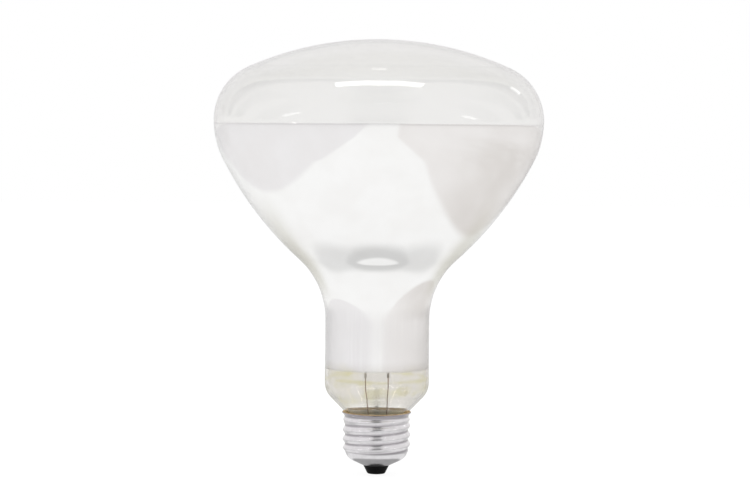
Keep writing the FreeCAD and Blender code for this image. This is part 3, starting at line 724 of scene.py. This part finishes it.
@dataclass
class Bulb:
    """The blown glass and the mirror inside its bowl and neck."""

    wall: float = 1.1
    face_rise: float = 31.2
    face_radius: float = 123.0
    hip_radius: float = 34.0
    hip_angle: float = 27.0
    bowl_radius: float = 132.0
    neck_radius: float = 20.15
    neck_fillet: float = 31.0
    taper_radius: float = 8.0
    taper_angle: float = 44.0
    throat_radius: float = 1.5
    throat_height: float = 22.7
    skirt_radius: float = 11.23
    film_sunk: float = 0.02
    film_wall: float = 0.12
    columns: int = 144

    def build(self) -> None:
        """Makes the glass and the mirror."""
        self.glass()
        self.film()

    def foot(self, inset: float, low: float, high: float) -> np.ndarray:
        """Samples the outline of the skirt, its throat, the cone, the taper and the straight neck.

        Args:
            inset: Distance inwards from the outside.
            low: Height of the skirt's end.
            high: Height of the neck's end.

        Returns:
            The points, as radius and height.
        """
        neck, skirt = self.neck_radius - inset, self.skirt_radius - inset
        taper, throat = self.taper_radius - inset, self.throat_radius + inset
        slope = np.radians(self.taper_angle)
        throat_centre = np.array([skirt + throat, self.throat_height])
        cone_end = throat_centre + throat * heading(180 - self.taper_angle)
        cone_length = (neck - skirt - (taper + throat) * (1 - np.cos(slope))) / np.sin(slope)
        cone_start = cone_end + cone_length * heading(90 - self.taper_angle)
        taper_centre = cone_start - taper * heading(-self.taper_angle)
        return np.concatenate(
            [
                run((skirt, low), (skirt, self.throat_height), 6),
                arc(throat_centre, throat, 180, 180 - self.taper_angle, 6),
                run(cone_end, cone_start, 8),
                arc(taper_centre, taper, -self.taper_angle, 0, 12),
                run((neck, taper_centre[1]), (neck, high), 24),
            ]
        )

    def outline(self, inset: float) -> np.ndarray:
        """Samples the bulb's outline from the end of the skirt to the top of the face.

        Arcs and lines meet without a corner: the shoulder's radius follows from the face and the widest
        section, and the turn of the bowl from the neck and its fillet.

        Args:
            inset: Distance inwards from the outside.

        Returns:
            The points, as radius and height.
        """
        low, high = frame_box("glass_envelope")
        widest, equator = high[0] - inset, high[2] - self.face_rise
        face, rise = self.face_radius - inset, self.face_rise - inset
        shoulder = (2 * face * rise - rise**2 - widest**2) / (2 * (face - widest))
        face_centre = np.array([0, equator + rise - face])
        shoulder_centre = np.array([widest - shoulder, equator])
        lean = np.degrees(np.arctan2(equator - face_centre[1], shoulder_centre[0]))
        hip, bowl = self.hip_radius - inset, self.bowl_radius - inset
        fillet, neck = self.neck_fillet + inset, self.neck_radius - inset
        hip_centre = np.array([widest - hip, equator])
        bowl_centre = hip_centre + (hip - bowl) * heading(-self.hip_angle)
        turn = np.degrees(np.arccos((neck + fillet - bowl_centre[0]) / (bowl + fillet)))
        fillet_centre = bowl_centre + (bowl + fillet) * heading(-turn)
        return np.concatenate(
            [
                self.foot(inset, low[2], fillet_centre[1]),
                arc(fillet_centre, fillet, 180, 180 - turn, 40),
                arc(bowl_centre, bowl, -turn, -self.hip_angle, 60),
                arc(hip_centre, hip, -self.hip_angle, 0, 24),
                arc(shoulder_centre, shoulder, 0, lean, 32),
                arc(face_centre, face, lean, 90, 44),
                [(0.0, equator + rise)],
            ]
        )

    def glass(self) -> None:
        """Turns the wall of the glass, down its inside from the face and up its outside."""
        section = np.concatenate([self.outline(self.wall)[::-1], self.outline(0)])
        show(skin("bulb_glass", turned(section, self.columns)), Slot.GLASS, "glass_envelope")

    def film(self) -> None:
        """Turns the mirror, a thin wall set into the inside of the glass like a real coat."""
        low, high = frame_box("reflector_film")
        inset = self.wall - self.film_sunk
        outside = self.stretch(self.outline(inset), low[2], high[2])
        inside = self.stretch(self.outline(inset + self.film_wall), low[2], high[2])
        section = np.concatenate([outside, inside[::-1]])
        mesh = skin("mirror_coat", turned(section, self.columns), loop=True)
        show(mesh, Slot.FILM, "reflector_film", crease=50)

    @staticmethod
    def stretch(outline: np.ndarray, low: float, high: float) -> np.ndarray:
        """Cuts a stretch between two heights out of an outline.

        Args:
            outline: The outline's points, as radius and height.
            low: The lower height.
            high: The upper height.

        Returns:
            The points of the stretch.
        """
        radius, height = outline.T
        kept = np.concatenate([[low], height[(height > low) & (height < high)], [high]])
        return np.column_stack([np.interp(kept, height, radius), kept])


# Filament mount


@dataclass
class Mount:
    """The glass stem with its leads, and the coiled filament on its support wires.

    A row of the stem is one ring: its half-width, its half-depth and its height.
    """

    flare_radius: float = 10.05
    flare_edge: float = 8.9
    flare_bevel: float = 0.4
    flare_foot: float = 1.2
    flare_arc: float = 5.0
    tube_radius: float = 6.0
    tube_wall: float = 1.1
    tube_top: float = 27.0
    pinch_foot: float = 35.0
    pinch_size: Span = (5.7, 2.3)
    pinch_round: float = 0.5
    pinch_pull: float = 4.0
    bore_top: float = 33.5
    bore_size: Span = (3.5, 1.7)
    rod_radius: float = 1.5
    rod_fillet: float = 0.8
    button_radius: float = 3.0
    columns: int = 96
    ring_arc: float = 260.0
    coil_turns: int = 150
    coil_points: int = 16
    wire: float = 0.11
    wire_columns: int = 8
    supports: int = 5

    def build(self, frame: dict) -> None:
        """Makes the stem, winds the filament and dresses the CAD pieces round them.

        Args:
            frame: The loaded frame.
        """
        self.stem()
        self.filament()
        keep(frame, Slot.STEM, "exhaust_tube")
        keep(frame, Slot.NICKEL, "inner_lead_left", "inner_lead_right")
        keep(frame, Slot.COPPER, "outer_lead_left", "outer_lead_right")
        hooks = (f"filament_support_{number}" for number in range(1, self.supports + 1))
        keep(frame, Slot.SUPPORT, *hooks)

    def bore_rows(self) -> np.ndarray:
        """Samples the bore of the seal, from its vaulted top down to the tube.

        Returns:
            The stem's rows.
        """
        width, depth = self.bore_size
        bore = self.tube_radius - self.tube_wall
        vault = quarter(11)
        height = self.bore_top - depth * (1 - np.cos(vault))
        top = np.column_stack([np.sin(vault) * width, np.sin(vault) * depth, height])
        return np.concatenate([top, run(top[-1], (bore, bore, self.tube_top), 16)[1:]])

    def flare_rows(self, low: float) -> np.ndarray:
        """Samples the tube and its flare, down the inside, round the edge and up the outside.

        Args:
            low: Height of the flare's edge.

        Returns:
            The stem's rows.
        """
        bore, spread = self.tube_radius - self.tube_wall, self.flare_radius - self.tube_radius
        waist = low + self.flare_foot + np.sqrt(2 * spread * self.flare_arc - spread**2)
        centre = np.array([self.tube_radius + self.flare_arc, waist])
        inner_arc = self.flare_arc + self.tube_wall
        inner_turn = np.degrees(np.arccos((centre[0] - self.flare_edge) / inner_arc))
        outer_turn = np.degrees(np.arccos((centre[0] - self.flare_radius) / self.flare_arc))
        section = np.concatenate(
            [
                run((bore, self.tube_top), (bore, waist), 6),
                arc(centre, inner_arc, 180, 180 + inner_turn, 12),
                run((self.flare_edge, low + self.flare_bevel), (self.flare_radius, low), 4),
                run((self.flare_radius, low), (self.flare_radius, low + self.flare_foot), 3),
                arc(centre, self.flare_arc, 180 + outer_turn, 180, 12),
                run((self.tube_radius, waist), (self.tube_radius, self.tube_top), 6),
            ]
        )
        return section[:, [0, 0, 1]]

    def seal_rows(self, high: float) -> np.ndarray:
        """Samples the pinched seal, from the top of the tube to its own rounded top.

        Args:
            high: Height of the seal's top.

        Returns:
            The stem's rows.
        """
        width, depth = self.pinch_size
        tube_end = (self.tube_radius, self.tube_radius, self.tube_top)
        foot = (width, depth, self.pinch_foot)
        turn = quarter(7)
        drawn_in = self.pinch_round * (1 - np.cos(turn))
        height = high - self.pinch_round * (1 - np.sin(turn))
        return np.concatenate(
            [
                run(tube_end, foot, 16),
                run(foot, (width, depth, high - self.pinch_round), 6),
                np.column_stack([width - drawn_in, depth - drawn_in, height]),
            ]
        )

    def rod_rows(self, low: float, high: float) -> np.ndarray:
        """Samples the support rod, from its fillet on the seal to the top of its button.

        Args:
            low: Height of the seal's top.
            high: Height of the button's top.

        Returns:
            The stem's rows.
        """
        turn = quarter(7)
        root = self.rod_radius + self.rod_fillet * (1 - np.sin(turn))
        root_depth = np.minimum(root, self.pinch_size[1] - self.pinch_round)
        meeting = np.arccos(self.rod_radius / self.button_radius)
        angle = np.linspace(-meeting, np.pi / 2, 24)[:-1]
        ball = self.button_radius * np.cos(angle)
        height = high - self.button_radius * (1 - np.sin(angle))
        return np.concatenate(
            [
                np.column_stack([root, root_depth, low + self.rod_fillet * (1 - np.cos(turn))]),
                np.column_stack([ball, ball, height]),
                [(0.0, 0.0, high)],
            ]
        )

    def stem(self) -> None:
        """Makes the flare, the pinched seal and the support rod as one glass body.

        Each ring is an oval: its half-depth times the cosine and sine of the angle, with its two ends
        pulled apart by the difference of half-width and half-depth.
        """
        low, seal = (corner[2] for corner in frame_box("stem_flare"))
        high = frame_box("support_rod")[1][2]
        parts = [self.bore_rows(), self.flare_rows(low), self.seal_rows(seal), self.rod_rows(seal, high)]
        width, depth, height = np.concatenate(parts).T[:, :, None]
        angle = circle(self.columns)
        across = depth * np.cos(angle) + (width - depth) * np.clip(self.pinch_pull * np.cos(angle), -1, 1)
        grid = np.stack(np.broadcast_arrays(across, depth * np.sin(angle), height), axis=-1)
        show(skin("stem", grid), Slot.STEM, "stem_flare", "support_rod", crease=50)

    def filament(self) -> None:
        """Winds a wire round an arc that is open to the front.

        The wire's angle round the coil grows with its angle round the ring, and its distance from the
        ring's line is the CAD rod's radius less half the wire.
        """
        low, high = frame_box("filament")
        rod = (high[2] - low[2]) / 2
        ring = high[0] - rod
        share = np.linspace(0, 1, self.coil_turns * self.coil_points)
        ring_angle = np.radians(90 + self.ring_arc * (share - 0.5))
        coil_angle = 2 * np.pi * self.coil_turns * share
        coil = rod - self.wire
        height = (low[2] + high[2]) / 2 + coil * np.sin(coil_angle)
        path = ring_grid(ring + coil * np.cos(coil_angle), height, ring_angle)
        along = np.stack([-np.sin(ring_angle), np.cos(ring_angle), 0 * share], axis=-1)
        mesh = skin("coiled_filament", tube(path, self.wire, along, self.wire_columns))
        show(mesh, Slot.TUNGSTEN, "filament")


# Base


@dataclass
class Base:
    """The screw shell with its black glass, centre contact, solder and cement."""

    wall: float = 0.3
    root_radius: float = 12.2
    thread_depth: float = 0.85
    thread_pitch: float = 3.629
    thread_phase: float = 15.59
    thread_start: float = 8.2
    thread_drop: float = 2.2
    thread_runout: float = 2.6
    groove_gain: float = 4.0
    groove_start: float = 9.2
    rim_height: float = 24.1
    bead_drop: float = 2.6
    bead_height: float = 0.7
    bead_width: float = 0.75
    lip_radius: float = 2.6
    lip_angle: float = 58.0
    heel_radius: float = 5.0
    sole_angle: float = 25.0
    sole_hole: float = 5.1
    sole_height: float = 3.6
    seat_gap: float = 0.05
    tip_radius: float = 3.4
    recess_radius: float = 2.65
    recess_top: float = 0.8
    bore_radius: float = 1.35
    corner_reach: float = 0.35
    columns: int = 160

    def build(self, frame: dict) -> None:
        """Makes the shell and the black glass, and dresses the CAD pieces.

        Args:
            frame: The loaded frame.
        """
        self.shell()
        self.insulator()
        keep(frame, Slot.BRASS, "centre_contact")
        keep(frame, Slot.SOLDER, "centre_solder", "side_solder")
        keep(frame, Slot.CEMENT, "basing_cement")

    def profile(self, inset: float) -> np.ndarray:
        """Samples the shell's section without its thread, from the sole's hole to the lip.

        Args:
            inset: Distance inwards from the outside.

        Returns:
            The points, as radius and height.
        """
        sole, wall = np.radians(self.sole_angle), self.root_radius - inset
        heel, lip = self.heel_radius - inset, self.lip_radius + inset
        sole_end = self.root_radius - self.heel_radius * (1 - np.sin(sole))
        sole_top = self.sole_height + (sole_end - self.sole_hole) * np.tan(sole)
        heel_height = sole_top + self.heel_radius * np.cos(sole)
        lip_height = self.rim_height - self.lip_radius * np.sin(np.radians(self.lip_angle))
        heel_centre = np.array([self.root_radius - self.heel_radius, heel_height])
        lip_centre = np.array([self.root_radius + self.lip_radius, lip_height])
        edge = np.array([self.sole_hole, self.sole_height + inset / np.cos(sole)])
        heel_start = heel_centre + heel * heading(self.sole_angle - 90)
        lip_end = lip_centre + lip * heading(180 - self.lip_angle)
        return np.concatenate(
            [
                run(edge, heel_start, 6),
                arc(heel_centre, heel, self.sole_angle - 90, 0, 14),
                run((wall, heel_height), (wall, lip_height), 120),
                arc(lip_centre, lip, 180, 180 - self.lip_angle, 12),
                [lip_end],
            ]
        )

    def thread(self, angle: np.ndarray, height: np.ndarray) -> np.ndarray:
        """Gives how far the rolled thread and the bead stand out of the wall, from 0 to 1.

        The thread is a right-hand cosine wave of one pitch that fades over its run-out at both ends, and
        the bead below the lip is a bell curve.

        Args:
            angle: Angle round the axis.
            height: Height of the point.

        Returns:
            The share of the thread's depth at each point.
        """
        rise = np.clip((height - self.thread_start) / self.thread_runout, 0, 1)
        fall = np.clip((self.rim_height - self.thread_drop - height) / self.thread_runout, 0, 1)
        share = rise**2 * (3 - 2 * rise) * fall**2 * (3 - 2 * fall)
        turns = (height - self.thread_phase) / self.thread_pitch - angle / (2 * np.pi)
        wave = share * (1 + np.cos(2 * np.pi * turns)) / 2
        offset = (height - self.rim_height + self.bead_drop) / self.bead_width
        bead = self.bead_height / self.thread_depth * np.exp(-(offset**2))
        return wave + bead - wave * bead

    def shell(self) -> None:
        """Makes the screw shell, one wall pushed out by the thread, and marks the groove for its painted
        shade.
        """
        section = np.concatenate([self.profile(0), self.profile(self.wall)[::-1]])
        angle = circle(self.columns)
        radius, height = section[:, :1], section[:, 1:]
        crest = self.thread(angle, height)
        grid = ring_grid(radius + self.thread_depth * crest, height, angle)
        mesh = skin("threaded_cup", grid, loop=True)
        # The groove mask carries painted shade between the thread's crests
        mark(mesh, "groove", np.clip(1 - self.groove_gain * crest, 0, 1) * (height > self.groove_start))
        show(mesh, Slot.ALUMINIUM, "screw_shell", crease=60)

    def insulator(self) -> None:
        """Turns the black glass with the round corners of a moulding."""
        low, high = frame_box("base_insulator")
        collar, flange = self.sole_hole - self.seat_gap, high[0]
        slope = np.radians(self.sole_angle)
        seat = self.sole_height + (self.wall + self.seat_gap) / np.cos(slope)
        corners = [
            (self.recess_radius, low[2]),
            (self.tip_radius, low[2]),
            (collar, self.sole_height),
            (collar, seat),
            (flange, seat + (flange - collar) * np.tan(slope)),
            (flange, high[2]),
            (self.bore_radius, high[2]),
            (self.bore_radius, self.recess_top),
            (self.recess_radius, self.recess_top),
        ]
        section = soften(corners, self.corner_reach)
        mesh = skin("black_glass", turned(section, self.columns), loop=True)
        show(mesh, Slot.BLACK, "base_insulator")


# Studio


def facing(place: Point, target: Point, roll: float) -> Euler:
    """Returns the rotation that looks from a place to a target, rolled by some degrees."""
    look = (Vector(target) - Vector(place)).to_track_quat("-Z", "Y")
    return (look @ Quaternion((0, 0, 1), np.radians(roll))).to_euler()


@dataclass(frozen=True)
class Panel:
    """A soft rectangular light that faces the lamp."""

    name: str
    place: Point
    size: Span
    power: float
    roll: float = 0.0

    def hang(self, target: Point) -> None:
        """Hangs the light in the scene.

        Args:
            target: The point it faces.
        """
        light = bpy.data.lights.new(self.name, "AREA")
        light.shape = "RECTANGLE"
        light.size, light.size_y = self.size
        light.energy = self.power
        panel = put(self.name, light)
        panel.location = self.place
        panel.rotation_euler = facing(self.place, target, self.roll)


@dataclass(frozen=True)
class Oval:
    """A soft oval on the table: nothing at the first distance of its reach, full depth at the second."""

    reach: Span
    depth: float = 1.0
    centre: Point = (0.0, 0.0, 0.0)
    squeeze: Point = (1.0, 1.0, 1.0)

    def cover(self, graph: Graph) -> Socket:
        """Returns the oval's depth at the point."""
        away = graph.reach(self.centre, self.squeeze)
        return graph.product(graph.ramp(away, *self.reach), self.depth)


@dataclass(frozen=True)
class PaperEdge:
    """One edge of the paler strip: straight, but with a slope behind its turn and another far in front."""

    across: float
    turn: float
    lean: float
    flare: float
    flare_turn: float = -0.4

    def line(self, graph: Graph, along: Socket) -> Socket:
        """Adds the edge's distance across the table.

        It is the straight edge's, plus the lean times the distance beyond the turn, plus the flare times
        the distance, which is negative, in front of the flare's own turn.

        Args:
            graph: The table's nodes.
            along: Distance along the table.

        Returns:
            The distance.
        """
        past = graph.maths("MAXIMUM", graph.maths("SUBTRACT", along, self.turn), 0.0)
        front = graph.maths("MINIMUM", graph.maths("SUBTRACT", along, self.flare_turn), 0.0)
        leaned = graph.maths("MULTIPLY_ADD", past, self.lean, self.across)
        return graph.maths("MULTIPLY_ADD", front, self.flare, leaned)


@dataclass
class Studio:
    """A white table with a paler strip under the lamp, soft lights and a pale room.

    The picture's background is the white of the table and the room. Mirrors see a painted reflection
    instead: the table's strip, its greyer sides with painted shade on the right, painted shade round the
    lamp's foot and behind it, and the room's walls with a dark figure.
    """

    table: float = 6.0
    table_matt: Colour = (0.9, 0.9, 0.9)
    left_edge: PaperEdge = PaperEdge(-0.112, turn=-0.13, lean=-0.33, flare=0.08)
    right_edge: PaperEdge = PaperEdge(0.087, turn=-0.09, lean=0.17, flare=-0.25)
    strip_blur: float = 0.006
    strip_white: Colour = (0.945, 0.945, 0.945)
    # Painted shade round the lamp's foot with a painted lit pool, and painted brown shade behind it;
    # mirrors alone see them
    shadow: Colour = (0.0, 0.0, 0.0)
    wide_shade: Oval = Oval((0.075, 0.058), 0.2, centre=(0.0, 0.036, 0.0), squeeze=(0.82, 1.0, 1.0))
    ring_shade: Oval = Oval((0.043, 0.029), 0.33, squeeze=(0.82, 1.0, 1.0))
    outside_pool: Oval = Oval((0.0205, 0.0238), squeeze=(0.76, 1.0, 1.0))
    foot_shade: Oval = Oval((0.0155, 0.0125), 0.6)
    back_reach: Span = (0.04, 0.14)
    back_end: Span = (0.55, 0.25)
    back_width: Span = (0.2, 0.09)
    back_depth: float = 0.4
    back_brown: Colour = (0.25, 0.22, 0.08)
    # Painted reflection of the table's greyer sides, with painted shade on the right; mirrors alone see
    # them
    left_grey: Colour = (0.835, 0.822, 0.835)
    right_grey: Colour = (0.835, 0.812, 0.805)
    right_dark: Colour = (0.695, 0.665, 0.645)
    side_blur: Span = (-0.05, 0.05)
    dusk_front: Span = (-1.05, 0.5)
    dusk_back: Span = (1.1, 0.4)
    dusk_back_rest: float = 0.35
    dusk_end: Span = (0.3, 0.62)
    dusk_end_rest: float = 0.15
    dusk_folds: Span = (0.8, 1.15)
    fold_size: float = 70.0
    fold_stretch: Point = (1.0, 2.5, 1.0)
    fold_contrast: Span = (0.35, 0.65)
    # Painted reflection of the room's walls, a dark figure and a lens hood; mirrors alone see them
    room_left: Colour = (0.92, 0.91, 0.915)
    room_right: Colour = (0.91, 0.9, 0.9)
    room_turn: Span = (-0.6, 0.6)
    figure: Colour = (0.35, 0.35, 0.35)
    figure_width: Span = (0.5, 0.2)
    figure_foot: Span = (-0.05, 0.02)
    figure_head: Span = (0.96, 0.8)
    lens_hood: Colour = (0.0, 0.0, 0.0)
    hood_top: Span = (0.2, 0.08)
    fill: Colour = (0.9, 0.9, 0.9)
    table_white: Colour = (1.08, 1.08, 1.08)
    room_white: Colour = (1.0, 1.0, 1.0)
    glow: float = 0.85
    panels: tuple[Panel, ...] = (
        Panel("key", (0.0, -0.3, 1.15), (0.82, 0.16), 4.0),
        Panel("left_window", (-1.08, -0.6, 0.33), (0.32, 0.07), 0.2, roll=25.0),
        Panel("right_window", (1.1, -0.55, 0.26), (0.24, 0.07), 0.15, roll=-25.0),
        Panel("far_window", (0.83, 0.72, 0.68), (0.08, 0.16), 0.08),
        Panel("rear_lamp", (0.0, 0.48, 1.22), (0.08, 0.05), 0.04),
    )
    target: Point = (0.0, 0.0, 0.14)
    eye: Point = (-0.0011, -0.9, 0.1358)
    aim: Point = (-0.0011, 0.0, 0.0871)
    roll: float = 0.45
    lens: float = 112.0
    clip: Span = (0.01, 100.0)

    def build(self) -> None:
        """Makes the table, the lights, the room and the camera."""
        self.make_table()
        for panel in self.panels:
            panel.hang(self.target)
        self.make_room()
        self.make_camera()

    @staticmethod
    def mirrored(graph: Graph) -> Socket:
        """Returns 1 for light that has met a mirror on its way and 0 for a straight look."""
        depth = graph.add("ShaderNodeLightPath").outputs["Glossy Depth"]
        return graph.maths("GREATER_THAN", depth, 0.5)

    @staticmethod
    def looked_at(graph: Graph) -> Socket:
        """Adds 1 for what the camera sees straight, in a mirror or through glass, and 0 for other light.

        Args:
            graph: The nodes of the table or the room.

        Returns:
            The number.
        """
        path = graph.add("ShaderNodeLightPath")
        seen = graph.maths("ADD", path.outputs["Is Camera Ray"], path.outputs["Is Glossy Ray"])
        return graph.maths("MINIMUM", graph.maths("ADD", seen, path.outputs["Is Transmission Ray"]), 1.0)

    def strip(self, graph: Graph, across: Socket, along: Socket) -> Socket:
        """Adds the paler strip, whose edges lean outwards behind the lamp and far in front of it.

        Args:
            graph: The table's nodes.
            across: Distance across the table.
            along: Distance along the table.

        Returns:
            1 on the strip and 0 beside it.
        """
        left = graph.maths("SUBTRACT", across, self.left_edge.line(graph, along))
        right = graph.maths("SUBTRACT", across, self.right_edge.line(graph, along))
        blur = self.strip_blur
        return graph.product(graph.ramp(left, -blur, blur), graph.ramp(right, blur, -blur))

    def dusk(self, graph: Graph, across: Socket, along: Socket) -> Socket:
        """Adds the painted shade on the table's right side, by the bearing of a point from the lamp's
        foot.

        Args:
            graph: The table's nodes.
            across: Distance across the table.
            along: Distance along the table.

        Returns:
            The painted shade's depth, 0 in front, about 1 a little behind the lamp, less at the back and
            in folds.
        """
        bearing = graph.maths("ARCTAN2", along, across)
        front = graph.ramp(bearing, *self.dusk_front)
        back = graph.between(graph.ramp(bearing, *self.dusk_back), self.dusk_back_rest, 1.0)
        near = graph.between(graph.ramp(across, *self.dusk_end), 1.0, self.dusk_end_rest)
        folds = graph.ramp(graph.noise(self.fold_size, self.fold_stretch, 2.0), *self.fold_contrast)
        return graph.product(front, back, near, graph.between(folds, *self.dusk_folds))

    def behind(self, graph: Graph, across: Socket, along: Socket) -> Socket:
        """Adds the brown shade on the table behind the lamp.

        Args:
            graph: The table's nodes.
            across: Distance across the table.
            along: Distance along the table.

        Returns:
            The shade's depth, which fades at both of its sides and both of its ends.
        """
        sides = graph.ramp(graph.maths("ABSOLUTE", across), *self.back_width)
        near, far = (graph.ramp(along, *limits) for limits in (self.back_reach, self.back_end))
        return graph.product(sides, near, far, self.back_depth)

    def shade(self, graph: Graph) -> Socket:
        """Adds the shade round the lamp's foot, with a lit pool between its parts.

        Args:
            graph: The table's nodes.

        Returns:
            The shade's depth.
        """
        cast = graph.maths("MAXIMUM", self.wide_shade.cover(graph), self.ring_shade.cover(graph))
        beyond = graph.product(cast, self.outside_pool.cover(graph))
        return graph.maths("MAXIMUM", beyond, self.foot_shade.cover(graph))

    def table_top(self) -> bpy.types.Material:
        """Makes the table's material, a matt white that glows a little for whoever looks at it and shows
        mirrors a painted reflection with painted shade.

        Returns:
            The material.
        """
        material = bpy.data.materials.new("table_top")
        material.use_nodes = True
        graph = Graph(material.node_tree)
        axes = graph.add("ShaderNodeSeparateXYZ", {0: graph.place()})
        across, along = axes.outputs["X"], axes.outputs["Y"]
        # Painted reflection for mirrors: greyer sides with painted shade on the right, the strip, painted
        # shade round the foot and behind the lamp
        right = graph.mix(self.dusk(graph, across, along), self.right_grey, self.right_dark)
        sides = graph.mix(graph.ramp(across, *self.side_blur), self.left_grey, right)
        paper = graph.mix(self.strip(graph, across, along), sides, self.strip_white)
        shaded = graph.mix(self.shade(graph), paper, self.shadow)
        reflected = graph.mix(self.behind(graph, across, along), shaded, self.back_brown)
        colour = graph.mix(self.mirrored(graph), self.table_white, reflected)
        bright = graph.add("ShaderNodeEmission", {"Color": colour, "Strength": 1.0})
        matt = graph.add("ShaderNodeBsdfDiffuse", {"Color": self.table_matt})
        share = graph.product(self.looked_at(graph), self.glow)
        both = graph.add("ShaderNodeMixShader", {0: share, 1: matt.outputs[0], 2: bright.outputs[0]})
        graph.add("ShaderNodeOutputMaterial", {"Surface": both.outputs[0]})
        return material

    def make_table(self) -> None:
        """Makes the table."""
        half = self.table / 2
        corners = [(-half, -half, 0), (half, -half, 0), (half, half, 0), (-half, half, 0)]
        mesh = bpy.data.meshes.new("table")
        mesh.from_pydata(corners, [], [(0, 1, 2, 3)])
        mesh.materials.append(self.table_top())
        table = put("table", mesh)

    def make_room(self) -> None:
        """Makes the room.

        A straight look sees it white. A mirror sees a painted reflection instead: pale walls, a little
        darker on the right, and a dark figure and lens hood behind the camera.
        """
        world = bpy.data.worlds.new("room")
        world.use_nodes = True
        graph = Graph(world.node_tree)
        towards = graph.add("ShaderNodeTexCoord").outputs["Generated"]
        axes = graph.add("ShaderNodeSeparateXYZ", {0: towards})
        across, along, rise = (axes.outputs[axis] for axis in "XYZ")
        # Painted reflection for mirrors: greyer walls and a dark figure and lens hood behind the camera
        walls = graph.mix(graph.ramp(across, *self.room_turn), self.room_left, self.room_right)
        bearing = graph.maths("ARCTAN2", across, graph.maths("MULTIPLY", along, -1.0))
        wide = graph.ramp(graph.maths("ABSOLUTE", bearing), *self.figure_width)
        foot, head = (graph.ramp(rise, *limits) for limits in (self.figure_foot, self.figure_head))
        dark = graph.mix(graph.ramp(rise, *self.hood_top), self.figure, self.lens_hood)
        reflected = graph.mix(graph.product(wide, foot, head), walls, dark)
        seen = graph.mix(self.mirrored(graph), self.room_white, reflected)
        colour = graph.mix(self.looked_at(graph), self.fill, seen)
        background = graph.add("ShaderNodeBackground", {"Color": colour})
        graph.add("ShaderNodeOutputWorld", {"Surface": background.outputs[0]})
        bpy.context.scene.world = world

    def make_camera(self) -> None:
        """Puts the camera level with the mirror's edge, looking a little down."""
        lens = bpy.data.cameras.new("camera")
        lens.lens = self.lens
        lens.clip_start, lens.clip_end = self.clip
        camera = put("camera", lens)
        camera.location = self.eye
        camera.rotation_euler = facing(self.eye, self.aim, self.roll)
        bpy.context.scene.camera = camera


def main() -> None:
    """Builds the lamp on its frame, then the studio."""
    logging.basicConfig(level=logging.INFO, format="%(name)s: %(message)s")
    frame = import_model()
    bpy.context.scene.view_settings.view_transform = "Standard"
    Bulb().build()
    Mount().build(frame)
    Base().build(frame)
    Studio().build()


if __name__ == "__main__":
    main()
